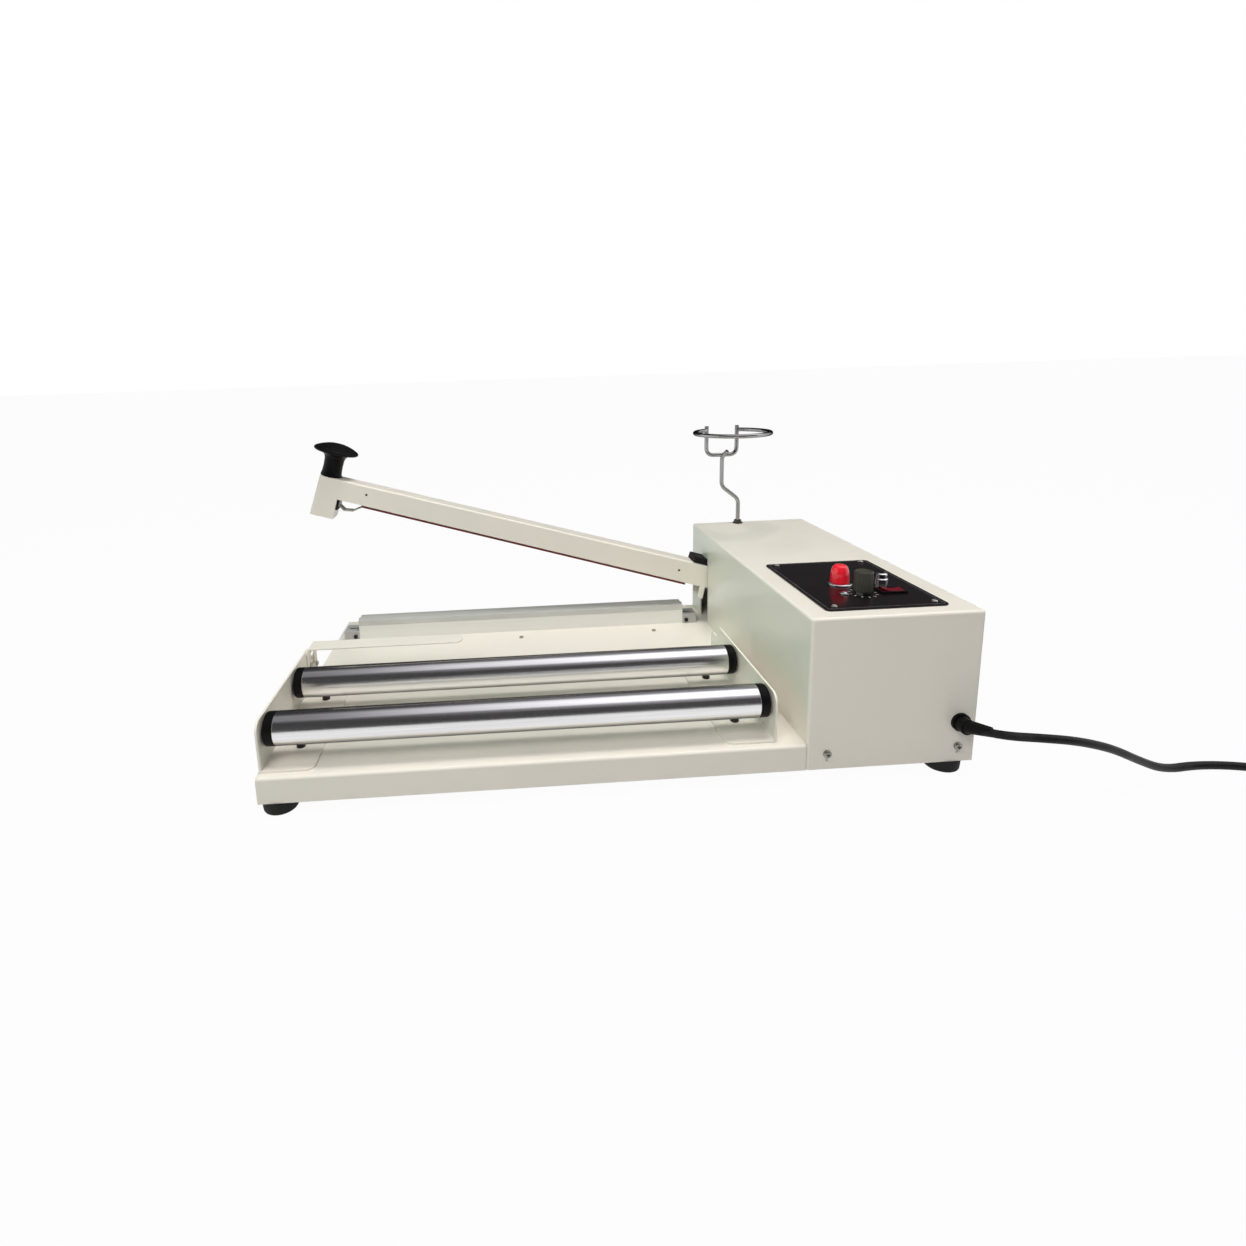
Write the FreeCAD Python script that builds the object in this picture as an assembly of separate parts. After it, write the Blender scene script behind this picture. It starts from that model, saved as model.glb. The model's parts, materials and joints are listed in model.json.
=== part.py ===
"""Hand-operated bar sealer: sheet tray with two film rollers, hinged sealing arm, control box.

Units are millimetres.  X runs to the right along the bar, Y to the back and Z up.  The shapes are
made with the tray's front left bottom corner at zero and are moved when they are written, so that
the origin is under the middle of the machine, on the surface that its feet stand on.
"""
import FreeCAD
import Part
import math
import os

V = FreeCAD.Vector
UP = V(0, 0, 1)
DOWN = V(0, 0, -1)
RIGHT = V(1, 0, 0)
BACK = V(0, 1, 0)
FRONT = V(0, -1, 0)

# Fits
SHEET_GAP = 0.3
BODY_GAP = 0.3
SLIP = 0.05

# Tray
TRAY_LENGTH = 514.0
TRAY_DEPTH = 396.0
TRAY_HEIGHT = 26.0
SHEET = 1.5
FOLD = 3.0
LIP_WIDTH = 34.0

# Feet
FOOT_RADIUS = 16.5
FOOT_HEIGHT = 12.0
FOOT_INSET_X = 16.5
FOOT_INSET_RIGHT = 22.5
FOOT_INSET_Y = 14.0
FOOT_RECESS = 5.0

# Control box
BOX_LENGTH = 165.0
BOX_HEIGHT = 152.0
BOX_SCREW_LEFT = 20.0
BOX_SCREW_RIGHT = 17.0
BOX_SCREW_Z = 16.0
DRAIN_DROP = 6.5

# Control panel, inset from the box's left edge and front face
PANEL_LEFT = 21.0
PANEL_FRONT = 16.0
PANEL_LENGTH = 120.0
PANEL_DEPTH = 153.0
PANEL_THICK = 1.5
PANEL_CORNER = 5.0
PANEL_SCREW_INSET_X = 11.0
PANEL_SCREW_INSET_Y = 8.0

# Controls, measured from the panel's front left corner
LAMP_AT = (49.0, 74.0)
LAMP_RADIUS = 9.5
LAMP_HEIGHT = 21.0
LAMP_BEZEL_RADIUS = 12.5
TIMER_AT = (57.0, 42.0)
TIMER_RADIUS = 9.0
TIMER_HEIGHT = 23.0
TIMER_SHAFT = 3.0
INDICATOR_AT = (39.0, 43.0)
INDICATOR_RADIUS = 5.0
FUSE_AT = (95.0, 77.0)
FUSE_RADIUS = 7.0
ROCKER_AT = (87.0, 44.0)
ROCKER_LENGTH = 27.0
ROCKER_WIDTH = 17.0
ROCKER_TIP = 12.0

# Film rollers
ROLLER_RADIUS = 16.0
ROLLER_WALL = 1.5
ROLLER_CAP = 9.0
ROLLER_PLUG = 14.0
ROLLER_END_GAP = 2.1
SHAFT_RADIUS = 4.0
ROLLER_Z = 60.0
FRONT_ROLLER_Y = 28.0
REAR_ROLLER_Y = 124.0

# Roller brackets
BRACKET_SHEET = 2.0
BRACKET_INSET = 1.4
BRACKET_RIGHT_GAP = 26.0
BRACKET_TOP = 75.0
BRACKET_FRONT = 8.0
BRACKET_BACK = 188.0
BRACKET_TAIL_BACK = 211.0
BRACKET_TAIL_TOP = 60.0
BRACKET_FLANGE = 49.6
BRACKET_CORNER = 10.0
BRACKET_SCREW_IN = 27.0
BRACKET_SCREW_YS = (49.0, 147.0)

# Film separator, a folded strip held by a tab on the left bracket
SEPARATOR_REACH = 178.0
SEPARATOR_FRONT = 177.0
SEPARATOR_WIDTH = 25.0
SEPARATOR_SHEET = 1.2
TAB_FRONT = 170.0
TAB_BACK = 207.0
TAB_BOTTOM = 40.0
TAB_SCREWS = ((180.0, 55.0), (203.0, 47.0))

# Seal bar and the line that it shares with the arm
BAR_START = 30.0
BAR_TO_BOX = 34.0
BAR_WIDTH = 23.0
BAR_WALL = 2.5
BAR_TOP = 52.0
ARM_LINE_TO_BACK = 61.0
WIRE_WIDTH = 3.0
WIRE_THICK = 0.3
TAPE_THICK = 0.4
TAPE_DROP = 6.5
END_BLOCK_LENGTH = 20.0
END_BLOCK_HEIGHT = 12.0
END_BLOCK_OVERHANG = 1.5
END_SCREW_SIDE = 6.0
CLAMP_SCREW_IN = 5.0
CLAMP_SCREW_UP = 5.0
DECK_SCREWS_TO_BOX = (262.0, 80.0)
DECK_SCREWS_TO_LINE = 35.0

# Arm, drawn lying closed and turned up about its pivot
PIVOT_IN_BOX = 64.0
PIVOT_Z = 62.0
ARM_RAISE = 16.5
ARM_WIDTH = 28.0
ARM_SHEET = 2.0
ARM_BOTTOM = 57.5
ARM_HEAD_LEFT = -34.5
ARM_HEAD_SPLAY = 2.5
ARM_HEAD_WIDTH = 27.8
ARM_HEAD_TOP = 84.0
ARM_HEAD_BOTTOM = 30.0
ARM_RISE = 0.0085
ARM_TAIL = 24.0
ARM_ROOT_BOTTOM = 50.0
ARM_SIDE_HOLE_LEFT = 29.4
ARM_SIDE_HOLE_TO_BOX = 47.4
ARM_SIDE_HOLE_Z = 72.8
ARM_LEG_TO_BOX = 12.0
ARM_LEG_WIDTH = 7.5
ARM_LEG_BOTTOM = 40.0
SLOT_TOP = 111.0
SLOT_SIDE_GAP = 3.0

# Strip under the arm
STRIP_START = 26.0
STRIP_TO_BOX = 32.0
STRIP_WIDTH = 20.0
STRIP_THICK = 6.5
CARRIER_WALL = 1.9
CARRIER_TOP = 78.0

# Hand knob
KNOB_X = -23.0
KNOB_STEM = 13.8
KNOB_WAIST = 12.3
KNOB_DISC = 29.0
KNOB_RIM = 33.5
KNOB_HEIGHT = 44.0
KNOB_SCREW = 4.0

# Stop block on the arm
STOP_LENGTH = 19.0
STOP_HEIGHT = 8.5

# Hinge bracket, spring and switch on the deck
HINGE_SHEET = 3.0
HINGE_LENGTH = 36.0
HINGE_TOP = 76.0
CHEEK_SIDE_GAP = 1.2
HINGE_FOOT = 22.0
HINGE_SCREW_IN = 8.0
HINGE_SCREW_SIDE = 14.0
SPRING_FROM_PIVOT = 37.5
SPRING_PIN_Z = 61.5
SPRING_PIN_RADIUS = 3.0
SPRING_RADIUS = 8.0
SPRING_WIRE = 1.3
SPRING_TURNS = 6

# Transformer, with its sheet strap
CORE_IN_BOX = 85.0
CORE_TO_BACK = 171.0
CORE_LENGTH = 84.0
CORE_DEPTH = 36.0
CORE_HEIGHT = 70.0
STRAP_SHEET = 2.0
STRAP_FOOT = 16.0

# Circuit board, switch and terminals on the deck
BOARD_IN_BOX = 30.0
BOARD_Y = 58.0
BOARD_LENGTH = 96.0
BOARD_DEPTH = 74.0
BOARD_THICK = 1.6
BOARD_UP = 8.0
POST_INSET = 4.0
RELAY_INSET = 12.0
RELAY_LENGTH = 19.0
RELAY_DEPTH = 15.0
RELAY_HEIGHT = 15.4
COIL_BLOCK = 24.0
CAN_RADIUS = 5.0
CAN_HEIGHT = 12.0
SWITCH_FROM_PIVOT = 30.0
SWITCH_LENGTH = 20.0
TERMINAL_Y = 20.0
TERMINAL_LENGTH = 48.0
TERMINAL_DEPTH = 18.0
TERMINAL_HEIGHT = 14.0

# Stand for the hand tool
STAND_IN_BOX = 64.0
STAND_TO_BACK = 10.0
STAND_WIRE = 2.8
STAND_BEND = 8.0
STAND_KNEE = 36.0
STAND_CRANK = 56.0
STAND_SHIFT = 25.0
FORK_RISE = 102.0
FORK_HALF = 22.0
RING_RISE = 138.0
RING_RADIUS = 50.0
RING_REACH = 46.0

# Mains lead
CORD_RADIUS = 3.85
LEAD_REACH = 150.0
GLAND_TO_SIDE = 16.6
GLAND_Z = 41.3
GLAND_RADIUS = 9.0
BOOT_LENGTH = 21.0
COIL_FROM_GLAND = 391.6
COIL_Y = -10.0
COIL_RADIUS = 42.0
COIL_HALF_WIDTH = 11.5
COIL_HEIGHT = 15.6
PLUG_FROM_COIL = 74.0
PLUG_RADIUS = 11.2

# Derived places
FLOOR = -FOOT_HEIGHT
BOX_RIGHT = TRAY_LENGTH + BOX_LENGTH
HEAD_OVERHANG = 20.6
MIDDLE_X = (BOX_RIGHT - HEAD_OVERHANG) / 2
MIDDLE_Y = TRAY_DEPTH / 2
ARM_LINE_Y = TRAY_DEPTH - ARM_LINE_TO_BACK
PIVOT_X = TRAY_LENGTH + PIVOT_IN_BOX
PANEL_X = TRAY_LENGTH + PANEL_LEFT
PANEL_TOP = BOX_HEIGHT + PANEL_THICK
DECK_END = BOX_RIGHT - SHEET - SHEET_GAP
BRACKET_FACE = BRACKET_INSET + BRACKET_SHEET
BRACKET_SPAN = TRAY_LENGTH - BRACKET_RIGHT_GAP - BRACKET_INSET
BRACKET_MIDDLE = BRACKET_INSET + BRACKET_SPAN / 2
BAR_END = TRAY_LENGTH - BAR_TO_BOX
DECK_SCREWS = [(TRAY_LENGTH - x, ARM_LINE_Y - DECK_SCREWS_TO_LINE) for x in DECK_SCREWS_TO_BOX]
ARM_LEG_X = TRAY_LENGTH - ARM_LEG_TO_BOX
ARM_TAIL_X = PIVOT_X + ARM_TAIL
ARM_SIDE_HOLES = [(x, ARM_SIDE_HOLE_Z) for x in (ARM_SIDE_HOLE_LEFT, TRAY_LENGTH - ARM_SIDE_HOLE_TO_BOX)]
STRIP_END = TRAY_LENGTH - STRIP_TO_BOX
SPRING_X = PIVOT_X - SPRING_FROM_PIVOT
CORE_X = TRAY_LENGTH + CORE_IN_BOX
CORE_Y = TRAY_DEPTH - CORE_TO_BACK
STAND_X = TRAY_LENGTH + STAND_IN_BOX
STAND_Y = TRAY_DEPTH - STAND_TO_BACK
FORK_BOTTOM = BOX_HEIGHT + FORK_RISE
RING_Z = BOX_HEIGHT + RING_RISE
RING_CENTRE = (STAND_X - STAND_SHIFT - 1.0, STAND_Y - RING_REACH)
GLAND_X = BOX_RIGHT - GLAND_TO_SIDE
COIL_X = GLAND_X + COIL_FROM_GLAND
TAPE_TOP = BAR_TOP + TAPE_THICK + WIRE_THICK + TAPE_THICK
CHEEK_INSIDE = ARM_WIDTH / 2 + CHEEK_SIDE_GAP
PIVOT = V(PIVOT_X, ARM_LINE_Y, PIVOT_Z)
STRIP_BOTTOM = TAPE_TOP + BODY_GAP
CORD_FLOOR = FLOOR + CORD_RADIUS
PLUG_X = COIL_X + PLUG_FROM_COIL
PLUG_LINE_Y = COIL_Y - COIL_RADIUS
PLUG_Z = FLOOR + PLUG_RADIUS + 0.1


def slab(x0, x1, y0, y1, z0, z1):
    """A block between two corners."""
    return Part.makeBox(x1 - x0, y1 - y0, z1 - z0, V(x0, y0, z0))


def rod(start, along, radius, length):
    """A round bar from a point along a direction."""
    return Part.makeCylinder(radius, length, start, along)


def prism(points, along):
    """A straight prism over a closed outline."""
    outline = Part.makePolygon(list(points) + [points[0]])
    return Part.Face(outline).extrude(along)


def side_prism(outline, front, back):
    """A prism along Y over an outline of (x, z) pairs."""
    return prism([V(x, front, z) for x, z in outline], V(0, back - front, 0))


def end_prism(outline, left, right):
    """A prism along X over an outline of (y, z) pairs."""
    return prism([V(left, y, z) for y, z in outline], V(right - left, 0, 0))


def turned(profile, x, y, z):
    """A turned piece over a half outline of (radius, height) pairs, standing on a point."""
    points = [V(x + r, y, z + height) for r, height in profile]
    face = Part.Face(Part.makePolygon(points + [points[0]]))
    return face.revolve(V(x, y, z), UP, 360)


def middle(edge):
    """The point halfway along an edge."""
    return edge.valueAt((edge.FirstParameter + edge.LastParameter) / 2)


def runs_along(edge, direction):
    """Whether a straight edge lies along a direction."""
    if len(edge.Vertexes) < 2:
        return False
    step = edge.Vertexes[1].Point - edge.Vertexes[0].Point
    return step.cross(direction).Length < 1e-6 * max(step.Length, 1)


def rounded(shape, radius, wanted):
    """The shape with the chosen edges rounded."""
    edges = [edge for edge in shape.Edges if wanted(edge)]
    return shape.makeFillet(radius, edges)


def plate(x0, x1, y0, y1, z0, z1, corner):
    """A flat plate with rounded corners."""
    return rounded(slab(x0, x1, y0, y1, z0, z1), corner, lambda edge: runs_along(edge, UP))


def pointed(shape, start, along):
    """A shape drawn standing on the origin, moved to a point and turned to a direction."""
    turn = FreeCAD.Rotation(UP, along)
    placed = shape.copy()
    placed.Placement = FreeCAD.Placement(start, turn)
    return placed


def screw(start, along, radius, length, head=1.9):
    """A cross-head screw whose head sits on a point and whose shank runs along a direction."""
    height = 1.3 * radius
    rim = head * radius
    ease = 0.4 * height
    cap = turned([(0, 0), (rim, 0), (rim, height - ease), (rim - ease, height), (0, height)], 0, 0, 0)
    arm = 1.1 * radius
    blade = 0.3 * radius
    cross = slab(-arm, arm, -blade, blade, 0.5 * height, 2 * height)
    cross = cross.fuse(slab(-blade, blade, -arm, arm, 0.5 * height, 2 * height))
    shank = Part.makeCylinder(radius, length, V(0, 0, -length))
    return pointed(cap.cut(cross).fuse(shank), start, along.negative())


def nut(start, along, radius, height=None, across=None):
    """A hexagon nut from a point along a direction."""
    across = across or 3.2 * radius
    height = height or 1.6 * radius
    reach = across / math.sqrt(3)
    corners = [V(reach * math.cos(k * math.pi / 3), reach * math.sin(k * math.pi / 3), 0) for k in range(6)]
    body = prism(corners, V(0, 0, height))
    return pointed(body.cut(Part.makeCylinder(radius, height)), start, along)


def washer(start, along, inner, outer, thick):
    """A flat ring from a point along a direction."""
    ring = Part.makeCylinder(outer, thick).cut(Part.makeCylinder(inner, thick))
    return pointed(ring, start, along)


def bent_rod(points, radius, bend=None):
    """A round rod through straight runs joined by tangent arcs.

    With a bend radius every corner gets that radius.  Without one, an arc takes up 0.45 of the
    shorter run beside its corner.
    """
    edges = []
    cursor = points[0]
    for before, corner, after in zip(points, points[1:], points[2:]):
        arriving = corner - before
        leaving = after - corner
        half = arriving.getAngle(leaving) / 2
        setback = 0.45 * min(arriving.Length, leaving.Length)
        arc = setback / math.tan(half)
        if bend:
            arc = bend
            setback = bend * math.tan(half)
        arriving.normalize()
        leaving.normalize()
        start = corner - arriving * setback
        end = corner + leaving * setback
        inward = leaving - arriving
        inward.normalize()
        crown = corner + inward * (arc / math.cos(half) - arc)
        edges.append(Part.makeLine(cursor, start))
        edges.append(Part.Arc(start, crown, end).toShape())
        cursor = end
    edges.append(Part.makeLine(cursor, points[-1]))
    section = Part.Wire([Part.makeCircle(radius, points[0], points[1] - points[0])])
    return Part.Wire(edges).makePipeShell([section], True, False)


def both_sides(shape, x):
    """A shape and its mirror image about an upright plane across X."""
    return [shape, shape.mirror(V(x, 0, 0), RIGHT)]


def raised(shape):
    """A piece of the closed arm, turned up to where the arm rests."""
    turned_up = shape.copy()
    turned_up.rotate(PIVOT, BACK, ARM_RAISE)
    return turned_up


def arm_top(x):
    """Height of the closed arm's upper face."""
    return ARM_HEAD_TOP + ARM_RISE * (x - ARM_HEAD_LEFT)


def foot_places():
    """Centres of the four feet."""
    xs = (FOOT_INSET_X, BOX_RIGHT - FOOT_INSET_RIGHT)
    ys = (FOOT_INSET_Y, TRAY_DEPTH - FOOT_INSET_Y)
    return [(x, y) for x in xs for y in ys]


def bracket_screw_places():
    """Places of the screws that hold the two roller brackets."""
    left = BRACKET_INSET + BRACKET_SCREW_IN
    right = 2 * BRACKET_MIDDLE - left
    return [(x, y) for x in (left, right) for y in BRACKET_SCREW_YS]


def end_block_places():
    """Left edges of the two blocks at the ends of the seal bar."""
    return [BAR_START - END_BLOCK_LENGTH, BAR_END]


def end_screw_places():
    """Places of the screws through the end blocks."""
    return [(left + END_BLOCK_LENGTH / 2, ARM_LINE_Y + END_SCREW_SIDE) for left in end_block_places()]


def hinge_screw_places():
    """Places of the screws that hold the hinge bracket's two feet."""
    side = ARM_WIDTH / 2 + HINGE_SCREW_SIDE
    along = HINGE_LENGTH / 2 - HINGE_SCREW_IN
    ys = [ARM_LINE_Y - side, ARM_LINE_Y + side]
    xs = [PIVOT_X - along, PIVOT_X + along]
    return [(x, y) for x in xs for y in ys]


def strap_screw_places():
    """Places of the screws that hold the transformer's strap."""
    reach = CORE_LENGTH / 2 + STRAP_FOOT - 7.0
    return [(CORE_X - reach, CORE_Y), (CORE_X + reach, CORE_Y)]


def deck_hole_places():
    """Places of all the larger screws through the tray's top."""
    return bracket_screw_places() + hinge_screw_places() + end_screw_places()


# Tray and feet
def folded_shell(x0, x1, y0, y1):
    """A shallow sheet pan that is open below, with rounded upper edges."""
    outer = slab(x0, x1, y0, y1, 0, TRAY_HEIGHT)
    outer = rounded(outer, FOLD, lambda edge: runs_along(edge, RIGHT) and middle(edge).z > 1)
    inner = slab(x0 - 1, x1 + 1, y0 + SHEET, y1 - SHEET, -1, TRAY_HEIGHT - SHEET)
    inner = rounded(inner, FOLD - SHEET, lambda edge: runs_along(edge, RIGHT) and middle(edge).z > 1)
    return outer.cut(inner)


def base_tray():
    """The tray: a folded pan, its narrower run under the box, end walls and bottom lips."""
    inset = SHEET + SHEET_GAP
    wide = folded_shell(0, TRAY_LENGTH - SHEET_GAP, 0, TRAY_DEPTH)
    narrow = folded_shell(TRAY_LENGTH - 9.0, DECK_END, inset, TRAY_DEPTH - inset)
    pieces = [narrow]
    pieces.append(slab(0, SHEET, SHEET, TRAY_DEPTH - SHEET, 0, TRAY_HEIGHT))
    pieces.append(slab(DECK_END - SHEET, DECK_END, inset + 1, TRAY_DEPTH - inset - 1, 0, TRAY_HEIGHT - 1))
    for front in (inset, TRAY_DEPTH - LIP_WIDTH):
        pieces.append(slab(1, DECK_END - 1, front, front + LIP_WIDTH - inset, 0, SHEET))
    for front in (0.5, TRAY_DEPTH - LIP_WIDTH):
        pieces.append(slab(1, TRAY_LENGTH - SHEET_GAP, front, front + LIP_WIDTH - 0.5, 0, SHEET))
    tray = wide.multiFuse(pieces).removeSplitter()
    holes = [rod(V(x, y, -1), UP, 2.6, SHEET + 2) for x, y in foot_places()]
    holes += [rod(V(x, y, TRAY_HEIGHT - 4), UP, 2.6, 6) for x, y in deck_hole_places()]
    holes += [rod(V(x, y, TRAY_HEIGHT - 4), UP, 2.1, 6) for x, y in strap_screw_places()]
    holes += [rod(V(x, y, TRAY_HEIGHT - 4), UP, 1.6, 6) for x, y in DECK_SCREWS]
    for x in cover_screw_xs():
        holes.append(rod(V(x, -1, BOX_SCREW_Z), BACK, 2.1, TRAY_DEPTH + 2))
    return tray.cut(Part.makeCompound(holes))


def rubber_feet():
    """Four rubber feet with a rounded lower edge and a recess for the screw's head."""
    feet = []
    for x, y in foot_places():
        foot = rod(V(x, y, FLOOR), UP, FOOT_RADIUS, FOOT_HEIGHT)
        foot = rounded(foot, 3.0, lambda edge: abs(middle(edge).z - FLOOR) < 1e-6)
        recess = rod(V(x, y, FLOOR - 1), UP, 7.0, FOOT_RECESS + 1)
        bore = rod(V(x, y, FLOOR), UP, 2.6, FOOT_HEIGHT)
        feet.append(foot.cut(recess).cut(bore))
    return feet


def foot_screws():
    """Screws through the feet, heads inside the recesses."""
    seat = FLOOR + FOOT_RECESS
    return [screw(V(x, y, seat), UP, 2.5, SHEET - seat + 5.5) for x, y in foot_places()]


# Control box
def cover_screw_xs():
    """X places of the screws near the box's lower corners."""
    return [TRAY_LENGTH + BOX_SCREW_LEFT, BOX_RIGHT - BOX_SCREW_RIGHT]


def panel_point(place):
    """A place on the panel, given from its front left corner."""
    return PANEL_X + place[0], PANEL_FRONT + place[1]


def panel_screw_places():
    """Places of the panel's four screws."""
    xs = (PANEL_X + PANEL_SCREW_INSET_X, PANEL_X + PANEL_LENGTH - PANEL_SCREW_INSET_X)
    ys = (PANEL_FRONT + PANEL_SCREW_INSET_Y, PANEL_FRONT + PANEL_DEPTH - PANEL_SCREW_INSET_Y)
    return [(x, y) for x in xs for y in ys]


def panel_holes():
    """Openings for the controls, through the panel and the box's top."""
    low = BOX_HEIGHT - 4
    tall = PANEL_THICK + 8
    holes = []
    for place, radius in ((LAMP_AT, 8.0), (TIMER_AT, 5.0), (INDICATOR_AT, 3.5), (FUSE_AT, 6.0)):
        x, y = panel_point(place)
        holes.append(rod(V(x, y, low), UP, radius, tall))
    x, y = panel_point(ROCKER_AT)
    half_x = ROCKER_LENGTH / 2 - 1.0
    half_y = ROCKER_WIDTH / 2 - 1.0
    holes.append(slab(x - half_x, x + half_x, y - half_y, y + half_y, low, low + tall))
    holes += [rod(V(x, y, low), UP, 1.6, tall) for x, y in panel_screw_places()]
    return Part.makeCompound(holes)


def control_box_cover():
    """The box's five-sided cover: its left wall stands on the tray and is slotted for the arm."""
    outer = slab(TRAY_LENGTH, BOX_RIGHT, 0, TRAY_DEPTH, 0, BOX_HEIGHT)
    outer = rounded(outer, FOLD, lambda edge: not on_rim(edge, 0))
    inner = slab(TRAY_LENGTH + SHEET, BOX_RIGHT - SHEET, SHEET, TRAY_DEPTH - SHEET, -1, BOX_HEIGHT - SHEET)
    inner = rounded(inner, FOLD - SHEET, lambda edge: not on_rim(edge, -1))
    cover = outer.cut(inner)
    low = TRAY_LENGTH - 1
    cuts = [slab(low, low + SHEET + FOLD, SHEET, TRAY_DEPTH - SHEET, -1, TRAY_HEIGHT)]
    side = ARM_WIDTH / 2 + SLOT_SIDE_GAP
    cuts.append(slab(low, low + SHEET + FOLD, ARM_LINE_Y - side, ARM_LINE_Y + side, 0, SLOT_TOP))
    for x in cover_screw_xs():
        cuts.append(rod(V(x, -1, BOX_SCREW_Z), BACK, 2.1, TRAY_DEPTH + 2))
        cuts.append(rod(V(x, -1, BOX_SCREW_Z - DRAIN_DROP), BACK, 1.4, SHEET + 1.2))
    cuts.append(rod(V(GLAND_X, -1, GLAND_Z), BACK, GLAND_RADIUS - 2.0, SHEET + 3))
    cuts.append(rod(V(STAND_X, STAND_Y, BOX_HEIGHT - 4), UP, STAND_WIRE + 0.2, 8))
    return cover.cut(Part.makeCompound(cuts)).cut(panel_holes())


def on_rim(edge, level):
    """Whether an edge lies wholly at a height."""
    return all(abs(vertex.Z - level) < 1e-6 for vertex in edge.Vertexes)


def box_screws():
    """Screws of one size: of the cover's front and back walls, and of the transformer's strap."""
    screws = [screw(V(x, y, TRAY_HEIGHT + STRAP_SHEET), DOWN, 2.0, 8.0) for x, y in strap_screw_places()]
    for x in cover_screw_xs():
        screws.append(screw(V(x, 0, BOX_SCREW_Z), BACK, 2.0, 8.0))
        screws.append(screw(V(x, TRAY_DEPTH, BOX_SCREW_Z), FRONT, 2.0, 8.0))
    return screws


def control_panel():
    """The glossy plate that carries the controls."""
    right = PANEL_X + PANEL_LENGTH
    back = PANEL_FRONT + PANEL_DEPTH
    face = plate(PANEL_X, right, PANEL_FRONT, back, BOX_HEIGHT, PANEL_TOP, PANEL_CORNER)
    return face.cut(panel_holes())


def small_screws():
    """Screws of one size: at the panel's corners, in the film separator's tab and in the tray's top."""
    length = SEPARATOR_SHEET + BRACKET_SHEET + 1.0
    head = BRACKET_FACE + SEPARATOR_SHEET
    screws = [screw(V(x, y, PANEL_TOP), DOWN, 1.5, length) for x, y in panel_screw_places()]
    screws += [screw(V(x, y, TRAY_HEIGHT), DOWN, 1.5, length) for x, y in DECK_SCREWS]
    return screws + [screw(V(head, y, z), RIGHT.negative(), 1.5, length) for y, z in TAB_SCREWS]


def pilot_lamp_lens():
    """The red lamp: a tapered dome over a stem that goes down through the panel."""
    x, y = panel_point(LAMP_AT)
    r = LAMP_RADIUS
    h = LAMP_HEIGHT
    profile = [(0, -20), (5, -20), (5, 2), (r, 2), (r, 4), (0.93 * r, 0.72 * h)]
    profile += [(0.80 * r, 0.86 * h), (0.55 * r, 0.96 * h), (0.25 * r, h), (0, h)]
    return turned(profile, x, y, PANEL_TOP)


def pilot_lamp_bezel():
    """The lamp's metal ring and its threaded sleeve, with the nut under the box's top."""
    x, y = panel_point(LAMP_AT)
    r = LAMP_BEZEL_RADIUS
    ring = turned([(5, 0), (r, 0), (r, 1), (r - 1.5, 2), (5, 2)], x, y, PANEL_TOP)
    sleeve = turned([(5, -18), (7.5, -18), (7.5, 0), (5, 0)], x, y, PANEL_TOP)
    under = BOX_HEIGHT - SHEET
    return ring.fuse(sleeve).fuse(washer(V(x, y, under), DOWN, 7.0, 10.5, 3.0))


def timer_body():
    """The timer's body under the box's top, its threaded bush and its nut."""
    x, y = panel_point(TIMER_AT)
    under = BOX_HEIGHT - SHEET
    body = rod(V(x, y, under - 14), UP, 11.0, 14)
    bush = rod(V(x, y, under), UP, 4.8, PANEL_TOP + 2.0 - under)
    ring = nut(V(x, y, PANEL_TOP), UP, 4.8, 1.6, 12.0)
    bore = rod(V(x, y, under - 12), UP, TIMER_SHAFT + SLIP, 30)
    return body.multiFuse([bush, ring]).cut(bore)


def timer_knob():
    """The black timer knob with a grip of shallow flutes, and its shaft."""
    x, y = panel_point(TIMER_AT)
    r = TIMER_RADIUS
    h = TIMER_HEIGHT
    base = 2.6
    profile = [(0, base), (r, base), (r, h - 2), (r - 1.5, h), (0, h)]
    knob = turned(profile, x, y, PANEL_TOP)
    flutes = []
    for k in range(12):
        angle = 2 * math.pi * k / 12
        place = V(x + (r + 0.7) * math.cos(angle), y + (r + 0.7) * math.sin(angle), PANEL_TOP + 6)
        flutes.append(rod(place, UP, 1.3, h))
    under = BOX_HEIGHT - SHEET
    shaft = rod(V(x, y, under - 11.5), UP, TIMER_SHAFT, PANEL_TOP + base + 1 - under + 11.5)
    return knob.cut(Part.makeCompound(flutes)).fuse(shaft)


def indicator():
    """A small metal indicator with a domed top and a stem."""
    x, y = panel_point(INDICATOR_AT)
    r = INDICATOR_RADIUS
    profile = [(0, -12), (3.3, -12), (3.3, 0), (r, 0), (r, 1.2), (0.7 * r, 2.2), (0.4 * r, 2.6), (0, 2.6)]
    return turned(profile, x, y, PANEL_TOP)


def fuse_holder():
    """The fuse holder: a stepped metal cap with a coin slot, its nut and its long barrel."""
    x, y = panel_point(FUSE_AT)
    r = FUSE_RADIUS
    profile = [(0, -32), (5.8, -32), (5.8, 0), (r, 0), (r, 2.5), (r - 1, 3.5), (r - 1, 8), (r - 2, 9), (0, 9)]
    holder = turned(profile, x, y, PANEL_TOP)
    slot = slab(x - r, x + r, y - 0.8, y + 0.8, PANEL_TOP + 7.2, PANEL_TOP + 12)
    ring = washer(V(x, y, BOX_HEIGHT - SHEET), DOWN, 5.8, 9.0, 2.5)
    return holder.cut(slot).fuse(ring)


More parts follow.
